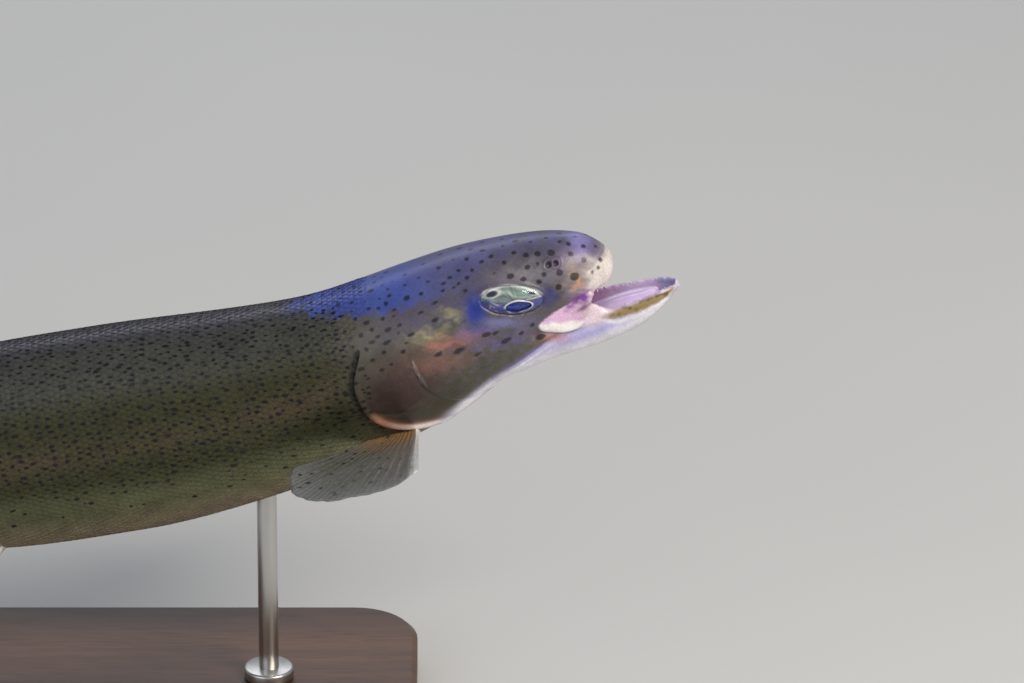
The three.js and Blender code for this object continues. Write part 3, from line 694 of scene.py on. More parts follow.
def paint_head(c, s, y, z, mouth):
    def lay_on(name, where):
        cover(c, COLOURS[name], where)

    def patches(*rows):
        for name, at_s, at_z, long, tall, tilt, amount in rows:
            lay_on(name, patch(a, b, at_s, at_z, long, tall, tilt) * amount)

    drift_s, drift_z = wander(s, z)
    a, b = s + drift_s, z + drift_z
    lay_on("cheek", fade(s, 72, 88) * ease(z, -24, -18))
    lay_on("forehead", fade(s, 56, 78) * ease(b - 0.06 * s, 4, 11) * 0.95)
    patches(("gill cover", 69, -1, 12, 10, 0, 1.3), ("gill cover foot", 64, -13.5, 12, 4.5, -20, 0.9))
    # level streaks, as the head is held
    ripple = 0.5 + 0.5 * np.sin(2.3 * (b - 0.488 * a) + 0.9 * np.sin(0.4 * a))
    mottle = np.sin(1.15 * s + 0.9 * z + 1.7 * np.sin(0.5 * z - 0.35 * s)) * np.sin(0.8 * z - 0.5 * s + 1.3)
    side = fade(s, 48, 62) * ease(s, 14, 24) * fade(b, 9, 15)
    lay_on("cheek olive", ease(-mottle, 0.05, 0.7) * 0.4 * side)
    lay_on("under eye", ease(mottle, 0.05, 0.8) * 0.28 * side)
    lay_on("violet streak", ripple ** 4 * patch(s, z, 38, 1, 15, 6) * 0.55)
    # painted reflection of the sky on the wet skin: blue on the nape, violet on the crown
    lay_on("nape", ease(b - HEAD_SKY(s), -1.4, 1.2) * ease(s, 36, 60) * ease(-s - 2 * drift_z, -118, -84))
    lay_on("crown", ease(b - HEAD_SKY(s), -2.5, 2.5) * fade(s, 36, 60) * 0.85)
    patches(("gold patch", 45.5, 13.5, 4.2, 1.4, 24, 0.55 + 0.4 * ripple),
            ("gold patch", 54, 10.5, 7.5, 2.2, 18, 0.35 + 0.45 * ripple),
            ("under eye", 27, -0.5, 7, 3, -12, 0.75), ("violet streak", 41.5, 5.5, 6, 1.8, 14, 0.9),
            ("salmon patch", 49.5, 6.2, 7.5, 1.9, 16, 0.65 + 0.35 * ripple),
            ("salmon patch", 55, 2, 9, 3.2, 18, 0.4), ("violet streak", 36, -1.5, 9, 1.1, 20, 0.6))
    lay_on("behind eye", patch(s, z, 38.8, 11.2, 3.0, 4.4, 20) * 1.3)
    lay_on("eye mauve", patch(s, z, 34.0, 4.6, 5.0, 1.6, 28) * 0.85)
    patches(("before eye", 18.2, 5.4, 2.6, 3.4, 0, 0.95), ("brow", 21.5, 13.2, 7.5, 3.0, 26, 0.85))
    lay_on("snout", fade(a, 8, 18) * fade(z, 11, 16) * 0.75)
    patches(("snout gold", 8.6, 6.6, 3.2, 2.8, 0, 0.8))
    lay_on("nose", fade(a, 1.5, 8.0) * fade(b, 4.2, 8.4))
    patches(("nose", 5.5, 1.0, 4.5, 2.6, 0, 0.8), ("snout top", 3.0, 12.6, 5.0, 3.0, 30, 0.9),
            ("snout orange", 9.4, 4.0, 0.7, 2.0, 0, 0.8))
    rim = eye_reach(np.stack([-s, y, z], 1))
    over = (z - EYE_HEIGHT) * math.cos(EYE_TILT) + (EYE_STATION - s) * math.sin(EYE_TILT)
    lay_on("eye rim", bell(rim - 1.03, 0.055) * ease(over, 0.9, 2.4) * (0.55 + 0.45 * np.sin(0.8 * s - 1)))
    line = from_line(cheek_line, s, z)[0]
    lay_on("plate line", bell(line - 0.4, 0.24) * ease(z, -4.5, 0) * fade(z, 3.5, 8) * 0.85)
    edge, along = from_line(gill_line, s, z)
    foot = ease(along, 0.38, 0.5) * (np.abs(edge) < 6)
    # painted shade: the spots' dark colour laid in the groove behind the gill cover's free edge, stronger
    # higher up
    lay_on("spot", bell(edge + 0.7, 0.9) * 0.75 * (0.3 + 0.7 * ease(z, -2, 5)) * (s > 50) * (z < 15))
    lay_on("edge orange", foot * bell(edge - 1.4, 1.5))
    lay_on("edge white", foot * bell(edge - 1.2, 1.0) * ease(along, 0.5, 0.68))
    paint_jaws(lay_on, s, y, z)
    lay_on("mouth roof", mouth)
    lay_on("mouth rim", mouth * ease(-s, -12, 3) * ease(z, -16, -12))
    lay_on("mouth tip", mouth * ease(-s, 7, 11) * 0.8)


print("over the eye the crown's violet begins at", HEAD_SKY(EYE_STATION).round(1), "mm")

# %% Paint of the jaws
JAW_BORDER = smooth([[-16, -8], [0, -6], [24, -7.8], [33, -9.4], [44, -11.8], [54, -14.8], [64, -18],
                     [72, -20.5]])  # where the cheek's paint ends and the jaw's begins


def paint_jaws(lay_on, s, y, z):
    under = np.where(s < 45, jaw_under(s + JAW_REACH), belly(s))
    drop = jaw_rim(s + JAW_REACH) - z
    border = JAW_BORDER(s) - z
    below = fade(s, 58, 70)
    lay_on("jaw line", bell(border - 0.3, 1.0) * ease(s, 24, 32) * below * 0.6)
    lay_on("jaw side", ease(border, 0.2, 0.9) * below * (0.97 - 0.3 * ease(s, 28, 40)))
    lay_on("jaw foot", ease(border, 1.2, 2.1) * ease(s, 20, 32) * below)
    lay_on("jaw side", bell(border - 2.9, 0.5) * ease(s, 18, 26) * below * 0.8)
    lay_on("jaw foot", ease(under + 6.5 - z, -1, 3.5) * fade(s, 56, 66))
    thick = 2.0 * fade(s, 3, 11) * (1 - 0.62 * ease(-s, 7, 14.5))
    uneven = 0.2 * np.sin(0.7 * s) + 0.12 * np.sin(1.9 * s + 1)
    band = (ease(1.15 - np.abs(drop - 0.88 * thick + uneven) / np.maximum(thick, 0.05), 0, 0.55)
            * (thick > 0.1) * (z < -6))
    lay_on("jaw foot", bell(drop - 2 * thick - 0.6, 1.0) * (thick > 0.1) * (z < -6) * 0.8)
    lay_on("jaw gold", band * 0.92)
    streaks = np.sin(0.75 * s + 1.9 * drop + 1.6 * np.sin(0.45 * s)) + 0.5 * np.sin(2.3 * s - 2.6 * drop)
    lay_on("jaw brown", band * ease(streaks + 0.5 * (1.2 - drop), 0.0, 1.2) * 0.9)
    lay_on("lip", bell(drop + 0.4, 0.6) * fade(s, 12, 22) * (z < -6) * 0.9)
    lay_on("throat", ease(under + 2.4 - z, 0, 2) * fade(s, 60, 74))
    lay_on("jaw foot", bell(s + 15.4, 1.2) * (z < -6) * 0.8)
    fold = (ease(z - jaw_rim(s + JAW_REACH), -1.5, 0.3) * ease(maxilla_line(s) + 1 - z, 0, 1)
            * ease(s, 2.5, 6) * fade(s, 22, 26))
    lay_on("mouth fold", fold * (y > jaw_half(s + JAW_REACH) - 1.6))
    lay_on("mouth fold", patch(s, z, 10.5, -9.4, 4.0, 1.9, 14) * (y > 8))
    lay_on("jaw salmon", patch(s, z, 22.5, -8.2, 4.5, 2.0, 35) * 0.8 * (y > 8))
    bone = maxilla_half(s) + 0.35 - np.abs(z - maxilla_line(s))
    on_bone = ease(bone, 0, 0.5) * ease(s, 6, 8.5) * fade(s, 24.4, 25.3) * (y > maxilla_side(s, z) - 1.6)
    lay_on("jawbone", on_bone)
    low = -4.0 + 0.49 * (s - 18.7) - z + 0.3 * np.sin(1.3 * s)
    lay_on("jawbone foot", on_bone * ease(low, -0.5, 0.7) * ease(s, 9.5, 13))
    lay_on("mouth fold", on_bone * fade(s, 10, 14) * 0.7)
    drift_s, drift_z = wander(s, z)
    joint = patch(s + 1.1 * drift_s, z + 1.1 * drift_z, 10.6, -1.3, 3.2, 2.1, 8)
    lay_on("jawbone joint", joint * 1.25 * (y > 6))
    # painted shade: a dark line just under the upper jawbone's lower edge, where the bone overhangs the fold
    painted_shade_under_bone = bell(bone - 0.05, 0.3) * ease(maxilla_line(s) - z, 0, 1) * ease(s, 14.5, 17) * (s < 25.5)
    lay_on("jawbone line", painted_shade_under_bone * (y > 8) * 0.9)
    lay_on("jawbone line", patch(s, z + 0.3 * drift_z, 10.6, -3.7, 2.4, 0.45, 4) * 0.8 * (y > 6))


print("under the eye the jaw's paint begins at", JAW_BORDER(EYE_STATION).round(1), "mm")


# %% The colour of any place
def paint(p, mouth=None):
    s, y, z = side_view(p)
    c = np.tile(COLOURS["belly"], (len(s), 1))
    paint_trunk(c, s, z)
    head = np.nonzero(s < 118)[0]
    part = c[head]
    paint_head(part, s[head], y[head], z[head], np.zeros(len(head)) if mouth is None else mouth[head])
    c[head] = part
    return c


tint = paint(straight, mouth)
print("mean colour of the skin", np.round(tint.mean(0), 3))

# %% [markdown]
# ## Spots
# The head's spots are few, and every fish has its own, so each is a place on the skin with a size. What
# a point keeps is its distance from the nearest spot's edge, from which the material draws it. The
# trunk has some thousands of small ones: there a Voronoi texture on the side laid flat draws one spot in
# each of its cells, long along the body, and leaves out more and more of them towards the belly.

# %% Places on the body's side
skin_tree = BVHTree.FromPolygons(straight.tolist(), [tuple(f.vertices) for f in skin.data.polygons])


def half_curve(s, side):
    """The body's section at a station from back to belly, and the way round it."""
    curve = body_ring(float(s), 128, SKIN_DEPTH)[(32 - side * np.arange(65)) % 128]
    return curve, np.concatenate([[0], np.cumsum(np.linalg.norm(np.diff(curve, axis=0), axis=1))])


def on_curve(curve, way, share):
    return np.stack([np.interp(share * way[-1], way, curve[:, k]) for k in range(3)], 1)


def strewn(count, last_station, last_share):
    """Random places on the skin, from the nose to a station and from the back part of the way down."""
    places = []
    stations, shares = rng.uniform(1, last_station, count), rng.uniform(0, last_share, count)
    for s, share, side in zip(stations, shares, rng.choice((-1, 1), count)):
        curve, way = half_curve(s, side)
        places.append(skin_tree.find_nearest(Vector(on_curve(curve, way, np.array([share]))[0]))[0])
    return np.array(places, float)


candidates = strewn(5000, 108, 0.45)
print(len(candidates), "places on the skin")

# %% Spots of the head, as this fish has them
HEAD_SPOTS = [  # station, height, radius, lengthening
    (0.8, 8.9, 0.6, 1), (0.9, 5.6, 0.75, 1), (2.3, 4.1, 0.65, 1), (3.7, 11.3, 0.75, 1.1),
    (4.3, 4.0, 0.6, 1.1), (4.9, 8.5, 0.8, 1), (7.3, 13.9, 0.75, 1), (7.6, 11.7, 0.8, 1),
    (9.1, 6.0, 1.2, 1.2), (9.4, 15.5, 0.6, 1.1), (12.3, 9.2, 1.0, 1.1), (12.5, 14.7, 1.1, 1),
    (12.8, 17.6, 0.55, 1), (14.4, 5.7, 0.9, 1.2), (16.1, 16.2, 0.9, 1.1), (16.6, 10.9, 0.75, 1.1),
    (17.1, 14.2, 0.6, 1), (17.2, 18.9, 0.55, 1), (18.8, 10.0, 0.75, 1.2), (19.3, 17.4, 0.75, 1.2),
    (20.2, 14.8, 0.8, 1.1), (22.4, 19.2, 0.7, 1.1), (22.6, 12.6, 0.7, 1.3), (25.6, 15.0, 0.8, 1.3),
    (25.9, -5.9, 0.9, 1.9), (26.1, -0.9, 0.8, 1.2), (29.0, 21.0, 0.75, 1.1), (29.6, 17.6, 0.45, 1.2),
    (30.1, -1.5, 0.6, 1.3), (31.9, 21.1, 0.6, 1.2), (36.6, 2.4, 0.65, 1.6), (34.9, -1.4, 0.9, 1.9),
    (35.3, 20.6, 0.65, 1), (37.5, 19.8, 0.75, 1.1), (39.2, 3.3, 0.9, 1.7), (39.2, 17.2, 0.7, 1.2),
    (39.2, 22.0, 0.65, 1), (40.3, 19.5, 0.5, 1), (42.1, 19.2, 0.65, 1), (42.1, 21.6, 0.65, 1.1),
    (44.2, -1.2, 0.65, 2.2), (44.4, 21.1, 0.7, 1.1), (45.3, 19.7, 0.5, 1.2), (48.1, 2.7, 1.0, 2.1),
    (48.6, 23.0, 0.6, 1), (48.8, 18.0, 0.6, 1.8), (50.5, 13.9, 0.75, 1.5), (51.0, 24.4, 0.5, 1.2),
    (53.6, 17.4, 0.6, 1.8), (54.2, 4.6, 0.85, 1.7), (55.4, 24.4, 0.6, 1.1), (58.7, 13.3, 0.75, 1.6),
    (59.0, 25.8, 0.45, 1.2), (60.6, 20.8, 0.5, 1.3), (60.9, 16.9, 0.6, 1.2), (61.5, 19.6, 0.55, 1.4),
    (61.1, 11.7, 0.55, 1.3), (62.1, 15.2, 0.5, 1.2), (63.9, 24.3, 0.45, 1.2), (66.4, 14.2, 0.7, 1.9),
    (68.4, 16.6, 0.6, 1.4), (70.7, 15.8, 0.6, 2.0), (72.5, 11.3, 0.7, 1.5), (68.0, 8.0, 0.6, 1.4),
    (76.2, 6.5, 0.6, 1.3),
]
print(len(HEAD_SPOTS), "spots have their own place")


def spot_places():
    """The right side has its own spots; the left has much the same, each a little moved."""
    spots = []
    for side in (-1, 1):
        for s, z, radius, length in HEAD_SPOTS:
            if side > 0:
                s, z = s + rng.uniform(-1.8, 1.8), z + rng.uniform(-1.2, 1.2)
                radius *= rng.uniform(0.8, 1.15)
            start = Vector((-s, side * 30, z))
            hit = skin_tree.ray_cast(start, Vector((0, -side, 0)), 30)[0]
            if hit is None:  # above the crown's side: look down instead
                hit = skin_tree.ray_cast(Vector((-s, side * 3, 40)), Vector((0, 0, -1)), 40)[0]
            if hit is not None and eye_reach(np.array([hit]))[0] > 1.25:
                small = 1 - 0.22 * float(ease(s, 24, 50))
                spots.append((*hit, radius * small, length / small))
    return spots


# %% Strew more over crown and nape
def strew_spots(candidates, spots):
    """Adds spots where there is room behind the crown, and returns places, radii and lengthening."""
    spots = list(spots)
    for p in candidates:
        s, z = -p[0], p[2]
        h = (z - belly(s)) / (back(s) - belly(s))
        near = 2.6 if s > 60 else 4.0
        if s < 62:
            wanted = ease(h, 0.86, 0.93)
        else:
            wanted = ease(h, 0.3 + 0.012 * (90 - min(s, 90)), 0.75) * fade(s, 76, 80)
        if wanted < rng.random() or s < 1:
            continue
        if all((p[0] - q[0]) ** 2 + (p[1] - q[1]) ** 2 + (p[2] - q[2]) ** 2 > near * near for q in spots):
            spots.append((*p, rng.uniform(0.4, 0.8), rng.uniform(1.0, 1.6)))
    return np.array(spots)


FAR = 3.0  # millimetres beyond which the distance from a spot no longer counts


def from_spot(p, spots):
    """Distance of each point from the nearest spot's edge, in millimetres, negative inside."""
    result = np.full(len(p), FAR)
    order = np.argsort(p[:, 0])
    for chunk in np.array_split(order, max(len(p) // 1500, 1)):
        low, high = p[chunk, 0].min() - 5, p[chunk, 0].max() + 5
        local = spots[(spots[:, 0] > low) & (spots[:, 0] < high)]
        if len(local):
            d = p[chunk][:, None, :] - local[None, :, :3]
            d[:, :, 0] /= local[None, :, 4]
            result[chunk] = np.minimum(FAR, (np.sqrt((d ** 2).sum(2)) - local[None, :, 3]).min(1))
    return result


spots = strew_spots(candidates, spot_places())
spot_edge = from_spot(straight, spots)
print(len(spots), "spots on the head")


# %% Where the small spots of the trunk may lie
DRAWN_OUT = 1.9  # how many times longer than high they are


def flat_place(p):
    """The trunk's side laid flat, for its small spots: along, round from the back, and how spotty it is."""
    s, _, z = side_view(p)
    h = up_the_side(s, z)
    girth = np.sqrt((trunk_half(s) ** 2 + ((back(s) - belly(s)) / 2) ** 2) / 2)
    spotty = (0.12 * ease(h, 0.12, 0.25) + 0.86 * ease(h, 0.26, 0.44)) * ease(s, 75, 80)
    return np.stack([s / DRAWN_OUT, np.sign(p[:, 1]) * girth * np.arccos(2 * h - 1), spotty], 1)


print("flat place of the shoulder", np.round(flat_place(np.array([[-100.0, 20, 5]]))[0], 2))


# %% Keep places, colours and spots on the mesh
# how each is kept: kind, field, and the socket that gives it to a material; the rest are plain numbers
KEPT_AS = {"tint": ("FLOAT_COLOR", "color", "Color"), "lay": ("FLOAT_VECTOR", "vector", "Vector"),
           "flat": ("FLOAT_VECTOR", "vector", "Vector")}
PLAIN = ("FLOAT", "value", "Fac")


def keep(obj, **values_by_name):
    """Keeps one value or vector at each point of a mesh, under each name."""
    for name, values in values_by_name.items():
        kind, field, _ = KEPT_AS.get(name, PLAIN)
        if kind == "FLOAT_COLOR":
            values = np.concatenate([values, np.ones((len(values), 1))], 1)
        layer = obj.data.attributes.new(name, kind, "POINT")
        layer.data.foreach_set(field, np.ascontiguousarray(values, np.float32).ravel())


def silver_of(p):
    """How much guanine, the fish's own mirror, lies in the skin: most on gill cover and low flank."""
    s, _, z = side_view(p)
    return 0.12 + 0.5 * bell(up_the_side(s, z) - 0.3, 0.26) * ease(s, 20, 60)


def finish(obj, points, stuff, angle=None):
    """Bends a piece onto the spine, gives it its material and shades it smooth."""
    set_points(obj, bend(points))
    obj.data.materials.append(stuff)
    shade(obj, angle)


keep(skin, lay=straight, tint=tint, spot=spot_edge, flat=flat_place(straight),
     silver=silver_of(straight) * (1 - mouth))
set_points(skin, bend(straight))
skin.vertex_groups.clear()
shade(skin)
print("skin bent:", skin.dimensions)

# %% [markdown]
# ## Wet skin and scales
# Living trout skin is clear slime over colour cells over silver. So the material is a soft coloured
# base, partly mirror-like where the silver is thick, under a thin glossy coat. Fine noise breaks the
# colour into speckles and the coat into ripples. The scales use the same material, with a darker rim.

# %% One helper for nodes
def add(tree, kind, inputs=None, **settings):
    """Adds one node; inputs are values or other nodes' outputs, settings its own properties."""
    made = tree.nodes.new("ShaderNode" + kind)
    for name, value in settings.items():
        setattr(made, name, value)
    for name, value in (inputs or {}).items():
        if isinstance(value, bpy.types.NodeSocket):
            tree.links.new(value, made.inputs[name])
        else:
            made.inputs[name].default_value = value
    return made


def material(name):
    made = bpy.data.materials.new(name)
    made.use_nodes = True
    made.node_tree.nodes.clear()
    return made, made.node_tree


def colour(hex_colour):
    return (*linear(hex_colour), 1)


def mix(tree, factor, first, second, blend="MIX"):
    return add(tree, "Mix", {0: factor, 6: first, 7: second}, data_type="RGBA", blend_type=blend).outputs[2]


print("white, as a node takes it:", colour("ffffff"))


# %% Short names for what materials need often
def kept(tree, *names):
    """What the mesh keeps at each point, by name."""
    return [add(tree, "Attribute", attribute_name=name).outputs[KEPT_AS.get(name, PLAIN)[2]]
            for name in names]


def noise(tree, at, scale, detail, rough=0.5):
    made = add(tree, "TexNoise", {"Vector": at, "Scale": scale, "Detail": detail, "Roughness": rough})
    return made.outputs["Fac"]


def spread(tree, value, low, high, start=0.3, end=0.7, **settings):
    """Takes start to low and end to high; from 0.3 to 0.7 is what a noise mostly gives."""
    inputs = {"Value": value, "From Min": start, "From Max": end, "To Min": low, "To Max": high}
    return add(tree, "MapRange", inputs, **settings).outputs[0]


def drawn_out(tree, *scale):
    """Places on the object, squeezed along each axis, which draws a noise out along the others."""
    place = add(tree, "TexCoord").outputs["Object"]
    return add(tree, "Mapping", {"Vector": place, "Scale": scale}).outputs[0]


def maths(tree, operation, first, second=0.5):
    return add(tree, "Math", {0: first, 1: second}, operation=operation).outputs[0]


def toned(tree, base, tone):
    """A colour made lighter or darker by a plain number."""
    return mix(tree, 1.0, base, add(tree, "CombineColor", {0: tone, 1: tone, 2: tone}).outputs[0], "MULTIPLY")


def bumped(tree, height, strength, distance):
    return add(tree, "Bump", {"Height": height, "Strength": strength, "Distance": distance}).outputs[0]


def surfaced(made, tree, shader, **inputs):
    """Ends a material with its shader; an input's name has its spaces as underscores."""
    last = add(tree, shader, {name.replace("_", " "): value for name, value in inputs.items()})
    add(tree, "OutputMaterial", {"Surface": last.outputs[0]})
    return made


print("kept as more than a number:", list(KEPT_AS))


# %% Small spots of the trunk
CELL = 1.8  # millimetres from one spot of the trunk to the next


def trunk_spots(tree):
    """Distance in millimetres from the nearest small spot's edge: at most one spot in each cell."""
    flat, = kept(tree, "flat")
    spotty = add(tree, "SeparateXYZ", {0: flat}).outputs[2]
    cells = add(tree, "TexVoronoi", {"Vector": flat, "Scale": 1 / CELL, "Randomness": 0.82},
                voronoi_dimensions="2D")
    chance = add(tree, "SeparateColor", {0: cells.outputs["Color"]})
    radius = spread(tree, chance.outputs[0], 0.15, 0.28, 0.0, 1.0)
    left_out = maths(tree, "GREATER_THAN", chance.outputs[1], spotty)
    edge = maths(tree, "SUBTRACT", cells.outputs["Distance"], radius)
    return maths(tree, "MULTIPLY", maths(tree, "ADD", edge, left_out), CELL)


print("small spots on a square centimetre: at most", round((10 / CELL) ** 2 / DRAWN_OUT))


# %% Wet trout skin
ROUGH = 0.42


def trout_skin(name, coat, rim=False):
    """Slime over colour over silver; rim darkens the edge of each scale."""
    made, tree = material(name)
    lay, base, spot, silver = kept(tree, "lay", "tint", "spot", "silver")
    cloud = noise(tree, lay, 1 / 7, 3.0, 0.6)
    tone = maths(tree, "MULTIPLY", spread(tree, cloud, 0.84, 1.16),
                 spread(tree, noise(tree, lay, 1 / 0.7, 2.0, 0.7), 0.9, 1.1, 0.35, 0.65))
    if rim:
        tone = maths(tree, "MULTIPLY", tone, *kept(tree, "tone"))
    base = toned(tree, base, tone)
    ragged = spread(tree, noise(tree, lay, 1 / 1.6, 2.0), -0.16, 0.16)
    inside = []
    # the head's spots are softer than the trunk's
    for distance, blur, depth in ((spot, 0.27, 0.82), (trunk_spots(tree), 0.2, 0.94)):
        edge = maths(tree, "ADD", distance, ragged)
        inside.append(spread(tree, edge, depth, 0.0, -blur, blur, interpolation_type="SMOOTHSTEP"))
    inside = maths(tree, "MAXIMUM", *inside)
    return surfaced(
        made, tree, "BsdfPrincipled", Base_Color=mix(tree, inside, base, (*COLOURS["spot"], 1)),
        Metallic=maths(tree, "MULTIPLY", silver, maths(tree, "SUBTRACT", 1.0, inside)),
        Roughness=spread(tree, cloud, ROUGH - 0.07, ROUGH + 0.07), IOR=1.4,
        Normal=bumped(tree, noise(tree, lay, 1 / 1.3, 3.0, 0.55), 0.35, 0.00012),
        Specular_IOR_Level=0.4 if rim else 0.5, Coat_Weight=coat, Coat_Roughness=0.18, Coat_IOR=1.33)


wet_skin = trout_skin("wet_trout_skin", 0.28)
wet_scale = trout_skin("wet_trout_scale", 0.15, rim=True)
skin.data.materials.append(wet_skin)
print("materials:", wet_skin.name, wet_scale.name)

# %% [markdown]
# ## Scales
# A trout has small round scales, about 150 along its side, each hidden for half its length under the
# one before it. They could be an array on a curve, but the rows must narrow towards the tail, so one
# scale is drawn, and copies are laid in staggered rows by arithmetic, into one mesh for each side.
# Each is a thin domed plate whose free hind edge turns down to the skin, so no gap shows below it.

# %% One scale
RIM = np.array([[0.0, 0.0], [0.22, 0.72], [0.55, 1.0], [0.83, 0.78], [0.97, 0.4], [1.02, 0.0],
                [0.97, -0.4], [0.83, -0.78], [0.55, -1.0], [0.22, -0.72]])
# along, across, height, share of the way to the rim; then the hind edge again, lower, as a skirt
SCALE_POINTS = ([[0.5, 0, 0.05, 0]] + [[a, b, -0.07 + 0.125 * a, 1.0] for a, b in RIM]
                + [[a - 0.03, b * 0.97, -0.1, 1.0] for a, b in RIM[2:9]])
SCALE_FACES = [(0, 1 + i, 1 + (i + 1) % 10) for i in range(10)]
for i in range(6):
    SCALE_FACES += [(3 + i, 11 + i, 12 + i), (3 + i, 12 + i, 4 + i)]
print("one scale:", len(SCALE_POINTS), "points,", len(SCALE_FACES), "triangles")

# %% One row of scales
SCALES_ALONG, FIRST_SCALE, SCALE_WIDTH = 150, 66.0, 1.75
nape_edge = smooth([[8, 79], [15, 77], [24, 70], [31, 66]])  # where scales begin, by height


def row_of_scales(s, side, shift, pitch):
    """Roots and frames of one row: place, towards the tail, across, outwards, size, unwrapped place."""
    curve, way = half_curve(s, side)
    following, further = half_curve(s + 0.8, side)
    count = int(way[-1] / SCALE_WIDTH * (1.72 / pitch) ** 0.7)
    share = (np.arange(count) + shift) / count
    share = share[(share > 0.004) & (share < 0.998)]
    root = on_curve(curve, way, share)
    back_along = on_curve(following, further, share) - root
    across = on_curve(curve, way, share + 0.01) - on_curve(curve, way, share - 0.01)
    back_along /= np.linalg.norm(back_along, axis=1)[:, None]
    across -= back_along * (across * back_along).sum(1)[:, None]
    across /= np.linalg.norm(across, axis=1)[:, None]
    out = np.cross(back_along, across) * side
    return [(root[i], back_along[i], across[i], out[i], way[-1] / count, share[i]) for i in range(len(share))]


print("scales in a row at the shoulder:", len(row_of_scales(120.0, 1, 0.25, 1.9)))


# %% All rows of a side
def scales(side, name):
    pitch = (TAIL_ROOT + TAIL_WEDGE - 3 - FIRST_SCALE) / SCALES_ALONG
    unit = np.array(SCALE_POINTS)
    points, unwrap, tones = [], [], []
    for i in range(SCALES_ALONG):
        s = FIRST_SCALE + pitch * (i + 0.5)
        for root, along, across, out, width, share in row_of_scales(s, side, 0.25 + 0.5 * (i % 2), pitch):
            behind = from_line(gill_line, np.array([s]), root[2:])[0][0] < -0.9
            past_root = s > TAIL_ROOT - 2 and abs(root[2]) > 11.5 - 0.8 * (s - TAIL_ROOT + 2)
            if s < nape_edge(root[2]) or (root[2] < 15 and s < 90 and not behind) or past_root:
                continue
            hit = skin_tree.ray_cast(Vector(root + out * 3), Vector(-out), 6)[0]
            if hit is None:
                continue
            place = np.array(hit)
            long, half = pitch * rng.uniform(1.7, 1.9), width * rng.uniform(0.6, 0.68)
            points.append(place + np.outer((unit[:, 0] - 0.4) * long, along)
                          + np.outer(unit[:, 1] * half, across) + np.outer(unit[:, 2], out))
            at_u = 0.02 + 0.94 * (s - FIRST_SCALE) / (TAIL_ROOT + TAIL_WEDGE - FIRST_SCALE)
            at_v = 0.02 + 0.94 * share
            unwrap.append(np.stack([at_u + (unit[:, 0] - 0.4) * 0.003, at_v + unit[:, 1] * 0.0015], 1))
            tones.append(np.full(len(unit), rng.uniform(0.94, 1.06)) * np.where(unit[:, 3] > 0, 0.975, 1.02))
    count, k = len(points), len(unit)
    faces = (np.array(SCALE_FACES)[None] + np.arange(count)[:, None, None] * k).reshape(-1, 3)
    if side > 0:
        faces = faces[:, ::-1]
    return scale_coat(name, np.vstack(points), faces, np.vstack(unwrap), np.concatenate(tones))


print("room between two rows:", round((TAIL_ROOT - FIRST_SCALE) / SCALES_ALONG, 2), "mm")


# %% One mesh for each side
def scale_coat(name, points, faces, unwrap, tones):
    """One mesh of all scales of a side, with its UV map."""
    coat = piece(name, points, faces.tolist())
    mesh = coat.data
    layer = mesh.uv_layers.new(name="OFBake")
    corners = np.empty(len(mesh.loops), np.int32)
    mesh.loops.foreach_get("vertex_index", corners)
    layer.data.foreach_set("uv", unwrap[corners].astype(np.float32).ravel())
    keep(coat, lay=points, tint=paint(points), spot=from_spot(points, spots), flat=flat_place(points),
         silver=silver_of(points), tone=tones)
    finish(coat, points, wet_scale, 50)
    print(name, len(mesh.polygons), "triangles")
    return coat


coat_left, coat_right = scales(1, "scales_left"), scales(-1, "scales_right")

# %% [markdown]
# ## Fins
# A fin is a fan of bony rays, each of which splits in two towards the edge, with thin skin between. Each
# fin is one closed plate: its two faces come from the same grid, which is thick along the rays and thin
# between them, and flesh swells its foot so that it grows out of the body. A plane with a Solidify
# modifier would be quicker, but equally thick everywhere.

# %% A fan of rays
def at(station, side, height):
    return np.array([-station, side, height], float)


COLUMNS_PER_RAY = 6


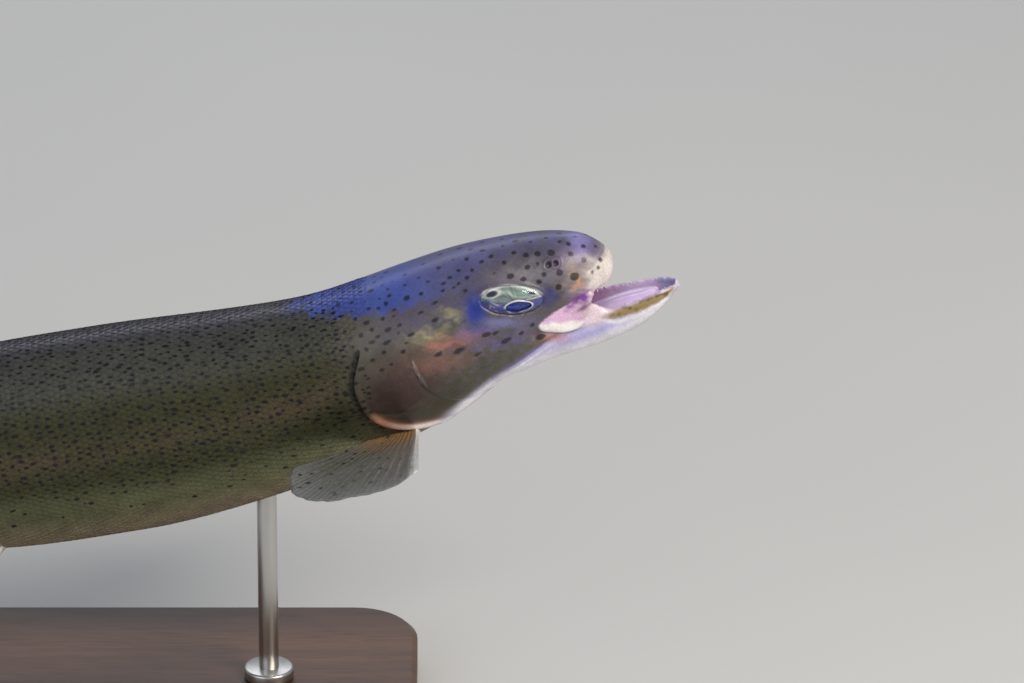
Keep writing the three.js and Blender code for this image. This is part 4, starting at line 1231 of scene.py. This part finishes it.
def fin(name, roots, angles, lengths, out, up, rays, foot=2.0, cup=0.0, wave=0.5, steps=40, fleshy=5.0,
        slim=0.0):
    """A closed two-sided fin on the straight fish, with its rays as ridges."""
    columns = rays * COLUMNS_PER_RAY + 1
    u, v = np.meshgrid(np.linspace(0, 1, columns), np.linspace(0, 1, steps), indexing="ij")
    out, up = np.array(out, float), np.array(up, float)
    out, up = out / np.linalg.norm(out), up / np.linalg.norm(up)
    turn = np.radians(angles[0] + (angles[1] - angles[0]) * u)
    ray = np.cos(turn)[..., None] * out + np.sin(turn)[..., None] * up
    normal = np.cross(out, up)
    normal /= np.linalg.norm(normal)
    ragged = 0.008 * np.abs(np.cos(np.pi * rays * u)) ** 3
    length = smooth(lengths)(u) * (1 - ragged - 0.006 * np.sin(u * 41) - 0.007 * np.sin(u * 23 + 1))
    middle = roots[0] + (roots[1] - roots[0]) * u[..., None] + ray * (length * v)[..., None]
    sway = cup * np.sin(np.pi * u) * v * v + wave * v ** 1.5 * np.sin(2 * np.pi * (1.6 * u + 0.25 * v))
    middle = middle + normal * sway[..., None]
    place = u * rays % 1 - 0.5
    fork = 0.24 * ease(v, 0.4, 0.95)
    ridge = np.exp(-((np.abs(place) - fork) / (0.13 + 0.05 * v)) ** 2)
    reach = length * v
    half = (0.17 + (0.24 - 0.17 * v) * ridge
            + 0.5 * foot * np.exp(-(reach / fleshy) ** 2) * (1 - slim * (2 * u - 1) ** 4))
    half = half * np.where(v > 0.97, 0.5, 1)
    sides = [middle + normal * half[..., None], middle - normal * half[..., None]]
    points = np.vstack([sides[0].reshape(-1, 3), sides[1].reshape(-1, 3)])
    total, faces = columns * steps, []
    for i in range(columns - 1):
        for j in range(steps - 1):
            a = i * steps + j
            faces.append((a, a + steps, a + steps + 1, a + 1))
            faces.append((a + total, a + 1 + total, a + steps + 1 + total, a + steps + total))
    border = [(i, 0) for i in range(columns)] + [(columns - 1, j) for j in range(1, steps)]
    border += [(i, steps - 1) for i in range(columns - 2, -1, -1)] + [(0, j) for j in range(steps - 2, 0, -1)]
    border = [i * steps + j for i, j in border]
    faces += [(b, a, a + total, b + total) for a, b in zip(border, border[1:] + border[:1])]
    made = turn_out(piece(name, points, faces))
    keep(made, lay=points, ray=np.tile((ridge * ease(reach, 1, 6)).ravel(), 2),
         along=np.tile(v.ravel(), 2), across=np.tile(u.ravel(), 2))
    print(name, len(made.data.polygons), "faces")
    return made, points


# %% The fins' places, rays and lengths
BACKWARD, UPWARD, DOWNWARD = (-1, 0, 0), (0, 0, 1), (0, 0, -1)
fins = {
    "dorsal_fin": fin("dorsal", [at(186, 0, back(186) - 3), at(225, 0, back(225) - 3)], [54, 28],
                      [[0, 37], [0.12, 41], [0.5, 31], [1, 21]], BACKWARD, UPWARD, 12, foot=2.4),
    "adipose_fin": fin("adipose", [at(290, 0, back(290) - 2), at(298, 0, back(298) - 2)], [32, 12],
                       [[0, 13.5], [0.5, 14], [1, 9]], BACKWARD, UPWARD, 3, foot=2.4, wave=0.1, steps=24,
                       fleshy=9),
    "anal_fin": fin("anal", [at(250, 0, belly(250) + 3), at(280, 0, belly(280) + 3)], [64, 34],
                    [[0, 29], [0.15, 32], [0.5, 23], [1, 16]], BACKWARD, DOWNWARD, 11, foot=2.2),
    "tail_fin": fin("tail", [at(331, 0, 14), at(331, 0, -13.5)], [30, -30],
                    [[0, 60], [0.08, 59], [0.3, 46.5], [0.5, 42.5], [0.7, 46.5], [0.92, 59], [1, 60]],
                    BACKWARD, UPWARD, 21, foot=3.4, wave=0.9, steps=46, fleshy=9, slim=0.95),
}
for side, word in ((1, "left"), (-1, "right")):
    fins["pectoral_fin_" + word] = fin(
        "pectoral_" + word, [at(71, side * 9.5, -18), at(79.5, side * 12, -15.8)], [-2, 58],
        [[0, 36], [0.15, 43], [0.4, 45], [0.75, 40], [1, 30]], (0, side, 0.08), (-1, 0, 0.12), 14, foot=3.2,
        cup=-side * 2.0)
    fins["pelvic_fin_" + word] = fin(
        "pelvic_" + word, [at(195, side * 6.5, -29), at(201, side * 5, -29)], [-4, 42],
        [[0, 34], [0.4, 34], [1, 22]], (-0.62, side * 0.6, -0.5), (-0.75, -side * 0.55, 0.25), 10, foot=2.6)
print("made:", ", ".join(fins))


# %% Spots and colours of the fins
FIN_COLOURS = {  # flesh at the foot, middle, margin, leading edge
    "dorsal": ("45472f", "5c5d4a", "77776a", "a09c86"), "adipose": ("45472f", "54563f", "2b2c25", "54563f"),
    "anal": ("8a7d66", "a58f78", "a79f90", "ece6dc"), "tail": ("45472f", "5a5b4c", "4a4b42", "6c6a5a"),
    "pectoral": ("8a6a42", "686963", "7b7d7d", "dfe1e0"), "pelvic": ("9a8768", "9c8a74", "a39c90", "ece6dc"),
}


def fin_paint(kind, u, v):
    foot, middle, margin, front = [linear(value) for value in FIN_COLOURS[kind]]
    c = np.tile(foot, (len(u), 1))
    cover(c, middle, ease(v, 0.06, 0.45))
    cover(c, margin, ease(v, 0.6, 1.0))
    cover(c, front, fade(u, 0.02, 0.075) * (kind != "tail"))
    return c


FIN_SPOTS = {"dorsal": (70, 1.0), "tail": (120, 0.95), "adipose": (5, 1.0), "pectoral": (46, 0.5)}


def fin_spots(kind, points, u, v):
    """Spots strewn over the fins of the back and the tail, and smaller ones over the pectorals."""
    amount, size = FIN_SPOTS.get(kind, (0, 0))
    if not amount:
        return np.full(len(points), FAR)
    usable = np.nonzero((v > 0.1) & (v < 0.93) & (u > 0.04) & (u < 0.96))[0]
    chosen = []
    for i in rng.permutation(usable):
        if all(np.linalg.norm(points[i] - points[j]) > size * 3.6 for j in chosen):
            chosen.append(i)
        if len(chosen) == amount:
            break
    marks = np.array([(*points[i], size * rng.uniform(0.7, 1.2), rng.uniform(1.0, 1.6)) for i in chosen])
    return from_spot(points, marks)


print("fins with spots:", ", ".join(FIN_SPOTS))


# %% Fin skin
def fin_skin(name):
    """Clear fin skin stretched over bony rays: thin and see-through between them, dense along them."""
    made, tree = material(name)
    lay, base, ray, along, spot = kept(tree, "lay", "tint", "ray", "along", "spot")
    cloud = spread(tree, noise(tree, lay, 1 / 1.1, 3.0, 0.65), 0.78, 1.22)
    base = toned(tree, base, maths(tree, "MULTIPLY", cloud, spread(tree, ray, 0.95, 1.09, 0.0, 1.0)))
    inside = spread(tree, spot, 0.85, 0.0, -0.2, 0.25, interpolation_type="SMOOTHSTEP")
    thin = spread(tree, along, 1.0, 0.62, 0.05, 0.6)
    joints = maths(tree, "SINE", maths(tree, "MULTIPLY", along, 150.0))
    return surfaced(
        made, tree, "BsdfPrincipled", Base_Color=mix(tree, inside, base, (*COLOURS["spot"], 1)),
        Roughness=0.4, IOR=1.4, Normal=bumped(tree, maths(tree, "MULTIPLY", joints, ray), 0.4, 0.0001),
        Alpha=spread(tree, maths(tree, "MAXIMUM", ray, inside), thin, 1.0, 0.0, 1.0),
        Coat_Weight=0.4, Coat_Roughness=0.15, Coat_IOR=1.36)


fin_membrane = fin_skin("wet_fin_skin")
for node_name, (made, points) in fins.items():
    kind = made.name.split("_")[0]
    u, v = (read(made.data.attributes[name].data, "value", 1)[:, 0] for name in ("across", "along"))
    keep(made, tint=fin_paint(kind, u, v), spot=fin_spots(kind, points, u, v))
    finish(made, points, fin_membrane)
    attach(made, "root")
    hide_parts(node_name)
print(len(fins), "fins")

# %% [markdown]
# ## Eyes
# A trout's eye is nearly flush with its cheek: a silvery iris with dark smudges, a pear-shaped pupil
# that points forward, the front of the lens in it, painted deep blue as a reflection of the sky, and a
# clear cornea over all. A painted ball would look dead, so iris, lens and cornea are three pieces at
# their true depths.

# %% How high the lids stand
PUPIL_A, PUPIL_B, PUPIL_LONG, PUPIL_TALL, PUPIL_POINT, PUPIL_SLOPE = 1.5, -1.95, 3.3, 1.5, 1.0, 0.1
CORNEA_GAP, IRIS_RISE, LID_THICKNESS = 0.55, 1.1, 0.3
ROUND = np.linspace(-np.pi, np.pi, 96, endpoint=False)


def lid_heights(side):
    """How high the skin stands just outside the eye's opening, smoothed, for every way round."""
    outward = eye_axes(side)[2]
    heights = []
    for angle in ROUND:
        start = eye_place(side, 1.1 * EYE_LONG * math.cos(angle), 1.1 * EYE_TALL * math.sin(angle), 6.0)
        heights.append(6.0 - (skin_tree.ray_cast(Vector(start), Vector(-outward), 10)[3] or 6.0))
    waves = np.fft.rfft(heights)
    waves[6:] = 0
    return np.fft.irfft(waves, len(ROUND))


LIDS = {side: lid_heights(side) for side in (-1, 1)}
print("right lids between", round(LIDS[-1].min(), 2), "and", round(LIDS[-1].max(), 2), "mm")


# %% The pupil's outline, and a dome under the lids
def pupil_outline(angle, grow=0.0):
    r = 1 / np.hypot(np.cos(angle) / (PUPIL_LONG + grow), np.sin(angle) / (PUPIL_TALL + grow))
    r = r + PUPIL_POINT * np.exp(-(angle / 0.34) ** 2)
    return PUPIL_A + r * np.cos(angle), PUPIL_B + r * (np.sin(angle) + PUPIL_SLOPE * np.cos(angle))


def dome(side, a, b, rise):
    """Height of a domed disc whose edge lies under the lids all round."""
    a, b = a / EYE_LONG, b / EYE_TALL
    lid = np.interp(np.arctan2(b, a), ROUND, LIDS[side], period=2 * np.pi) - LID_THICKNESS
    reach = a * a + b * b
    return lid * reach + (LIDS[side].mean() - LID_THICKNESS + rise) * (1 - reach)


def eye_tube(name, side, rings):
    """A closed piece from rings whose points are given as forward, up and out of the eye."""
    return tube(name, [eye_place(side, *ring_points) for ring_points in rings])


print("the pupil's point lies", round(float(pupil_outline(0)[0]), 1), "mm ahead of the eye's middle")


# %% Iris, with the ball behind it
def iris(side, word):
    inner = pupil_outline(ROUND)
    outer = (1.12 * EYE_LONG * np.cos(ROUND), 1.12 * EYE_TALL * np.sin(ROUND))
    rings = []
    for sink, grow in ((1.3, 0.35), (0.9, 0.12), (0.45, 0.0)):
        a, b = pupil_outline(ROUND, grow)
        rings.append((a, b, dome(side, a, b, IRIS_RISE) - sink))
    for t in np.linspace(0, 1, 26):
        a, b = inner[0] + (outer[0] - inner[0]) * t, inner[1] + (outer[1] - inner[1]) * t
        pleats = 0.07 * np.sin(ROUND * 34 + 3 * np.sin(ROUND * 5)) * np.sin(np.pi * t)
        relief = pleats + 0.16 * bell(t - 0.05, 0.06)
        rings.append((a, b, dome(side, a, b, IRIS_RISE) + relief))
    for turn in np.linspace(0.15, 1.4, 8):
        rings.append((outer[0] * math.cos(turn), outer[1] * math.cos(turn),
                      np.full(len(ROUND), -0.8 - 4.2 * math.sin(turn))))
    return eye_tube("iris_" + word, side, rings)


print("iris rises", IRIS_RISE, "mm from its edge to its middle")

# %% Paint of the iris
PALE_STREAKS = [  # forward, up, half length, half height, tilt, amount
    (-5.2, -1.0, 1.3, 0.16, -22, 0.9), (-6.4, -2.3, 0.2, 0.7, 0, 0.8), (-4.7, -3.3, 0.6, 0.25, 0, 0.8),
    (-4.2, -1.5, 0.8, 0.15, 20, 0.7), (-5.6, -2.0, 0.9, 0.14, -35, 0.6), (0.2, -3.95, 1.3, 0.16, -8, 0.6)]


def iris_paint(points, side):
    """Green-silver above, blue below, two dark smudges with pale rims, and a white line round the pupil."""
    forward, upward, _ = eye_axes(side)
    off = points - np.array([-EYE_STATION, side * EYE_SIDE, EYE_HEIGHT])
    a, b = off @ forward, off @ upward
    level = b - PUPIL_B - PUPIL_SLOPE * (a - PUPIL_A)  # height over the pupil's long axis
    angle, t = np.arctan2(level, a - PUPIL_A), np.hypot(a / EYE_LONG, b / EYE_TALL)
    px, py = pupil_outline(angle)
    rim = np.hypot(a - PUPIL_A, level) - np.hypot(px - PUPIL_A, py - PUPIL_B - PUPIL_SLOPE * (px - PUPIL_A))
    c = np.tile(linear("5257a0"), (len(points), 1))

    def lay_on(hex_colour, where):
        cover(c, linear(hex_colour), where)

    lay_on("7f9089", ease(level - 0.1 * a + 0.2 * np.sin(1.3 * a), 0.9, 2.4))
    waves = 2.1 * level + 0.7 * a + 0.8 * np.sin(a)
    lay_on("a5b8b0", bell(np.sin(waves) - 1, 0.45) * ease(level, 1.5, 2.6) * 0.8)
    lay_on("5a6a6c", bell(np.sin(waves + 2.6) - 1, 0.35) * ease(level, 1.2, 2.2) * 0.7)
    lay_on("90b0ab", bell(a - 4, 2.2) * bell(b - 2.4, 0.9) * 0.7)
    lay_on("7a6a6c", bell(a - 5.5, 1.8) * bell(level - 1.55, 0.35) * 0.8)
    lay_on("4a4468", bell(a + 4.6, 1.8) * bell(level - 1.7, 0.6) * 0.6)
    ends = 0.45 + 0.55 * ease(np.abs(a + 0.2), 2.0, 4.2)
    lay_on("e9ecec", bell(t - 0.93, 0.05) * ease(b, 0.6, 2.0) * ends)
    lay_on("2a3684", ease(-a, 5.2, 7.6) * ease(-b, -1.0, 0.8) * 0.9)
    lay_on("5d5aa8", patch(a, b, -3.2, -2.0, 2.2, 1.2) * 0.6)
    for *oval, amount in PALE_STREAKS:
        lay_on("cfc3ea", patch(a, b, *oval) * amount)
    lay_on("625d78", ease(t, 0.84, 1.0) * ease(-b, 0.6, 2.6) * 0.85)
    lay_on("dcd3e4", bell(level - 1.75 - 0.12 * (a - 4), 0.2) * ease(a, 1.6, 3.0) * 0.85)
    lay_on("3a3f5e", bell(rim - 0.85, 0.22) * ease(level, 0.2, 1.0) * 0.8)
    for at_a, at_b, long, tall, tilt in ((-6.0, 1.75, 1.8, 0.8, 16), (5.8, 2.1, 1.15, 0.45, -14)):
        c_t, s_t = math.cos(math.radians(tilt)), math.sin(math.radians(tilt))
        u, v = (a - at_a) * c_t + (b - at_b) * s_t, (b - at_b) * c_t - (a - at_a) * s_t
        reach = np.hypot(u / long, v / tall)
        lay_on("e3eae6", bell(reach - 1.35, 0.24) * ease(u, -0.8 * long, 0.3 * long) * 0.85)
        lay_on("282a40", fade(reach, 0.75, 1.15))
    lay_on("f6f8fb", bell(rim - 0.36, 0.26) * ease(level, -0.5, 0.2))
    lit = np.clip(ease(a, 1.6, 3.0) + 1.2 * bell(a + 0.7, 0.6), 0, 1)
    lay_on("e9ecf6", bell(rim - 0.34, 0.2) * ease(-level, -0.1, 0.4) * lit)
    lay_on("a9a4c8", bell(rim - 0.95, 0.16) * ease(-level, 0.2, 0.8) * ease(a, 2.4, 3.4) * 0.8)
    lay_on("141833", ease(-rim, 0.02, 0.22))
    return c


middle_of_pupil = eye_place(-1, np.array([PUPIL_A]), np.array([PUPIL_B]), np.zeros(1))
print("colour at the pupil's middle:", iris_paint(middle_of_pupil, -1).round(3))


# %% Lens and cornea
def lens(side, word):
    rings = []
    for t in (1.0, 0.8, 0.55, 0.3, 0.12):
        a, b = pupil_outline(ROUND, 0.3)
        a, b = PUPIL_A + (a - PUPIL_A) * t, PUPIL_B + (b - PUPIL_B) * t
        rings.append((a, b, dome(side, a, b, IRIS_RISE) - 0.85 + 0.6 * (1 - t * t)))
    a, b = pupil_outline(ROUND, 0.3)
    rings.insert(0, (a, b, dome(side, a, b, IRIS_RISE) - 1.6))
    return eye_tube("lens_" + word, side, rings)


def cornea(side, word):
    """A thin closed shell, a little under a millimetre above the iris at its middle."""
    wide, tall = EYE_LONG * 1.1, EYE_TALL * 1.1
    shells = []
    for lift, shares in ((0.0, np.linspace(0.03, 1, 22)), (-0.12, np.linspace(1, 0.03, 22))):
        for t in shares:
            a, b = wide * t * np.cos(ROUND), tall * t * np.sin(ROUND)
            shells.append((a, b, dome(side, a, b, IRIS_RISE) + CORNEA_GAP * (1 - t ** 4) + 0.05 + lift))
    return eye_tube("cornea_" + word, side, shells)


print("the cornea's middle stands", CORNEA_GAP + 0.05, "mm above the iris")

# %% What eyes are made of
def iris_tissue():
    """Guanine crystals under clear tissue give an iris a brushed, silvery gloss."""
    made, tree = material("iris_tissue")
    base, lay = kept(tree, "tint", "lay")
    grain = noise(tree, lay, 2.2, 4.0, 0.7)
    return surfaced(
        made, tree, "BsdfPrincipled", Base_Color=toned(tree, base, spread(tree, grain, 0.72, 1.2)),
        Metallic=0.2, Roughness=0.5, Normal=bumped(tree, grain, 0.25, 0.0001))


def lens_tissue():
    """The lens's deep blue is a painted reflection of the sky, under a glossy coat."""
    return surfaced(*material("eye_lens"), "BsdfPrincipled", Base_Color=colour("14318c"), Roughness=0.12,
                    IOR=1.4, Coat_Weight=0.6, Coat_Roughness=0.05)


def cornea_tissue():
    """Wet cornea: clear, with a window of light on it; thin, so it hardly bends what is behind."""
    made, tree = material("wet_cornea")
    clear = add(tree, "BsdfTransparent")
    gloss = add(tree, "BsdfGlossy", {"Roughness": 0.07, "Color": (1, 1, 1, 1)})
    fresnel = add(tree, "Fresnel", {"IOR": 1.2})
    both = add(tree, "MixShader", {0: fresnel.outputs[0], 1: clear.outputs[0], 2: gloss.outputs[0]})
    add(tree, "OutputMaterial", {"Surface": both.outputs[0]})
    return made


layers = [(iris, iris_tissue()), (lens, lens_tissue()), (cornea, cornea_tissue())]
for side, word in ((1, "left"), (-1, "right")):
    for layer, stuff in layers:
        made, points = layer(side, word)
        if layer is iris:
            keep(made, lay=points, tint=iris_paint(points, side))
            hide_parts("eye_" + word)
        finish(made, points, stuff, 60)
        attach(made, "root")
print("eyes at", np.round(bend([at(30, -15, 7)]), 4))

# %% [markdown]
# ## Tongue and teeth
# The open mouth shows a narrow, pointed tongue on its floor and a row of small curved teeth along each
# jaw. The tongue is a loft like the body. One tooth is a cone, drawn out and bent, and the rest are
# copies, all joined.

# %% Tongue
tongue_floor = smooth([[-10, -14.2], [10, -14], [26, -12]])
tongue_half = smooth([[-10, 0.3], [-9, 1.4], [-6, 3.2], [6, 4.8], [26, 5]])
tongue_height = smooth([[-10, 0.7], [-8.5, 2], [-4, 3.5], [26, 4]])
tongue = loft("tongue_flesh", [
    ring(s, tongue_half(s), tongue_floor(s) + tongue_height(s), tongue_floor(s) + 1.8,
         tongue_floor(s) + 0.3, 48, 0.8, 0.9) for s in np.linspace(-9.6, 26, 44)])
p = points_of(tongue)
groove = bell(p[:, 1], 0.9) * 0.4 * (p[:, 2] > tongue_floor(-p[:, 0]) + 2)
p[:, 2] -= groove * ease(-p[:, 0], -8, -2)
set_points(tongue, p)
keep(tongue, lay=p)


def mouth_flesh():
    """Wet mucous membrane: pink, soft, a little see-through, with fine bumps."""
    made, tree = material("mouth_flesh")
    lay, = kept(tree, "lay")
    return surfaced(
        made, tree, "BsdfPrincipled", Roughness=0.35, IOR=1.4,
        Base_Color=mix(tree, noise(tree, lay, 1 / 3, 4.0), colour("c9a5e2"), colour("ebdaf8")),
        Normal=bumped(tree, noise(tree, lay, 1 / 0.5, 2.0), 0.4, 0.00012), Subsurface_Weight=0.12,
        Subsurface_Radius=(0.002, 0.001, 0.0007), Subsurface_Scale=0.5, Coat_Weight=0.5, Coat_Roughness=0.1)


finish(tongue, p, mouth_flesh())
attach(tongue, "root")
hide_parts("tongue")
print("tongue:", len(tongue.data.polygons), "faces")

# %% Teeth
select_only()
bpy.ops.mesh.primitive_cone_add(vertices=10, radius1=0.24, radius2=0.05, depth=1.0)
bpy.ops.object.mode_set(mode="EDIT")
bpy.ops.mesh.select_all(action="SELECT")
bpy.ops.mesh.subdivide(number_cuts=2)
bpy.ops.object.mode_set(mode="OBJECT")
tooth = bpy.context.object
unit_tooth, tooth_faces = points_of(tooth), [tuple(f.vertices) for f in tooth.data.polygons]
unit_tooth[:, 0] -= 0.25 * (unit_tooth[:, 2] + 0.5) ** 2  # the tip leans back into the mouth
bpy.data.objects.remove(tooth)
tooth_points, all_faces = [], []
for side in (-1, 1):
    rows = [(s, side * (head_half(s) - 1.8), head_under(s) + 0.1, -1) for s in np.linspace(2.6, 7, 4)]
    rows += [(s, side * (jaw_half(s + JAW_REACH) - 1.5), jaw_rim(s + JAW_REACH) + 0.1, 1)
             for s in np.linspace(-12, 6, 8)]
    for s, y, z, way in rows:
        size = rng.uniform(0.8, 1.1) * (0.65 if way > 0 else 1)
        all_faces += [tuple(i + len(tooth_points) * len(unit_tooth) for i in f) for f in tooth_faces]
        tooth_points.append(unit_tooth * np.array([1, 1, way]) * size + np.array([-s, y, z]))
teeth = turn_out(piece("teeth", np.vstack(tooth_points), all_faces))


def tooth_enamel():
    """Fresh enamel: warm white, dense, glossy, paler than bone."""
    return surfaced(*material("tooth_enamel"), "BsdfPrincipled", Base_Color=colour("efe8da"), Roughness=0.22,
                    IOR=1.6, Subsurface_Weight=0.1, Subsurface_Radius=(0.001, 0.0008, 0.0006))


finish(teeth, points_of(teeth), tooth_enamel(), 50)
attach(teeth, "root")
print("teeth:", len(tooth_points))

# %% Skin and scales stand for the nodes of flesh
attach(skin, "root")
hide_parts("head", "lower_jaw", "throat", "maxilla_left", "maxilla_right", "gill_cover_left",
            "gill_cover_right", "trunk_front", "trunk_rear", "tail_stalk")
for coat in (coat_left, coat_right):
    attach(coat, "root")
print("flesh replaced")

# %% [markdown]
# ## The stand
# A museum fish is carried by two thin steel rods on a wooden board. Each rod is a cylinder with a
# turned collar where it enters the wood, and the board is a block with rounded corners and a soft
# upper edge. The board stays as the solid has it, and only gets its wood.

# %% Rods
BOARD_TOP, SUNK = 0.012, 0.004  # the rods' upper ends are sunk into the belly
SHAFT_GAP, COLLAR_GAP = 0.0003, 0.0002  # above the board, so that no faces lie on each other


def rod(word, node_name, radius=0.003, collar=0.0075, collar_height=0.0035):
    low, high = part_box(node_name)
    x, y = (low[0] + high[0]) / 2, (low[1] + high[1]) / 2
    select_only()
    bpy.ops.mesh.primitive_cylinder_add(
        vertices=48, radius=radius, depth=high[2] + SUNK - BOARD_TOP - SHAFT_GAP,
        location=(x, y, (high[2] + SUNK + BOARD_TOP + SHAFT_GAP) / 2))
    shaft = bpy.context.object
    bpy.ops.mesh.primitive_cylinder_add(vertices=48, radius=collar, depth=collar_height,
                                        location=(x, y, BOARD_TOP + COLLAR_GAP + collar_height / 2))
    foot = bpy.context.object
    apply_modifier(foot, "BEVEL", width=0.0008, segments=3, limit_method="ANGLE")
    apply_modifier(shaft, "BEVEL", width=0.0004, segments=2, limit_method="ANGLE")
    select_only(foot, shaft)
    bpy.ops.object.join()
    bpy.ops.object.transform_apply(location=True, rotation=True, scale=True)
    shade(shaft, 35)
    shaft.name = "steel_rod_" + word
    return shaft


def brushed_steel():
    """Stainless rod, turned and brushed round its length: bright, with fine rings."""
    made, tree = material("brushed_stainless_steel")
    rings = noise(tree, drawn_out(tree, 300.0, 300.0, 9000.0), 1.0, 2.0)
    return surfaced(made, tree, "BsdfPrincipled", Base_Color=colour("c9c8c4"), Metallic=1.0,
                    Roughness=spread(tree, rings, 0.24, 0.4, 0.0, 1.0),
                    Normal=bumped(tree, rings, 0.15, 0.00005))


steel = brushed_steel()
for word, node_name in (("front", "stand_rod_front"), ("rear", "stand_rod_rear")):
    made = rod(word, node_name)
    made.data.materials.append(steel)
    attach(made, "root")
    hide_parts(node_name)
    print(made.name, [round(v, 4) for v in made.dimensions])


# %% The board
def oiled_walnut():
    """Walnut, planed along its length and oiled: brown rings drawn out into grain, with open pores."""
    made, tree = material("oiled_walnut")
    bands = spread(tree, noise(tree, drawn_out(tree, 6.0, 60.0, 60.0), 1.0, 4.0), 0.0, 1.0, 0.35, 0.65)
    pore = noise(tree, drawn_out(tree, 90.0, 1800.0, 1800.0), 1.0, 2.0)
    base = mix(tree, bands, colour("3f2a1e"), colour("6a4a33"))
    return surfaced(
        made, tree, "BsdfPrincipled", Roughness=0.42, Normal=bumped(tree, pore, 0.15, 0.0001),
        Base_Color=mix(tree, spread(tree, pore, 0.0, 0.55, 0.5, 0.72), base, colour("22150e")),
        Coat_Weight=0.15, Coat_Roughness=0.3)


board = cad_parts["stand_base"]
board.data.materials.clear()
board.data.materials.append(oiled_walnut())

# %% [markdown]
# ## Floor, light and camera
# A pale, seamless floor and three soft lamps, as where museums record their models: one large, high on the
# right, towards the fish's face, a wide fill from the left, and a strip behind that lines its back.

# %% Floor
select_only()
bpy.ops.mesh.primitive_plane_add(size=8, location=(0, 0, 0))
floor = bpy.context.object
floor.name = "studio_floor"
pale, tree = material("pale_studio_floor")
place = add(tree, "TexCoord").outputs["Object"]
surfaced(pale, tree, "BsdfPrincipled", Roughness=0.7,
         Base_Color=mix(tree, noise(tree, place, 3.0, 3.0), colour("d3d4d3"), colour("dcdddb")))
floor.data.materials.append(pale)
print("floor laid")


# %% Lamps and world
def aim(obj, place, target):
    obj.location = place
    obj.rotation_euler = (Vector(target) - Vector(place)).to_track_quat("-Z", "Y").to_euler()


def lamp(name, place, target, width, height, energy, hex_colour):
    light = bpy.data.lights.new(name, "AREA")
    light.shape, light.size, light.size_y = "RECTANGLE", width, height
    light.energy, light.color = energy, tuple(linear(hex_colour))
    aim(placed(name, light), place, target)


HEAD_AT = (0.11, 0.0, 0.13)
lamp("key", (0.8, -0.7, 1.05), HEAD_AT, 0.6, 0.45, 13, "fff6ea")
lamp("fill", (-0.9, -1.1, 0.7), (0, 0, 0.1), 1.2, 0.8, 4.5, "eef3ff")
lamp("rim", (-0.1, 1.0, 0.9), (0.05, 0, 0.12), 1.1, 0.4, 3, "f2f4ff")
world = bpy.data.worlds.new("studio")
bpy.context.scene.world = world
world.use_nodes = True
sky = world.node_tree.nodes["Background"].inputs
sky["Color"].default_value, sky["Strength"].default_value = colour("e6e9ee"), 0.34
bpy.context.scene.view_settings.view_transform = "Standard"  # colours shown as they are mixed

# %% Camera
CAMERA_RISE, CAMERA_DISTANCE, FRAME_WIDTH, SENSOR = math.radians(25), 2.5, 0.3012, 36
look_at = Vector((0.1187, -0.0116, 0.1279))
camera_data = bpy.data.cameras.new("camera")
camera_data.sensor_width = SENSOR
camera_data.lens = SENSOR * CAMERA_DISTANCE / FRAME_WIDTH
camera = placed("camera", camera_data)
aim(camera, look_at + Vector((0, -math.cos(CAMERA_RISE), math.sin(CAMERA_RISE))) * CAMERA_DISTANCE, look_at)
bpy.context.scene.camera = camera
print("camera", [round(v, 3) for v in camera.location], "lens", round(camera_data.lens, 1))

# %% Finish: nothing selected, and the scene brought up to date
select_only()
bpy.context.view_layer.update()
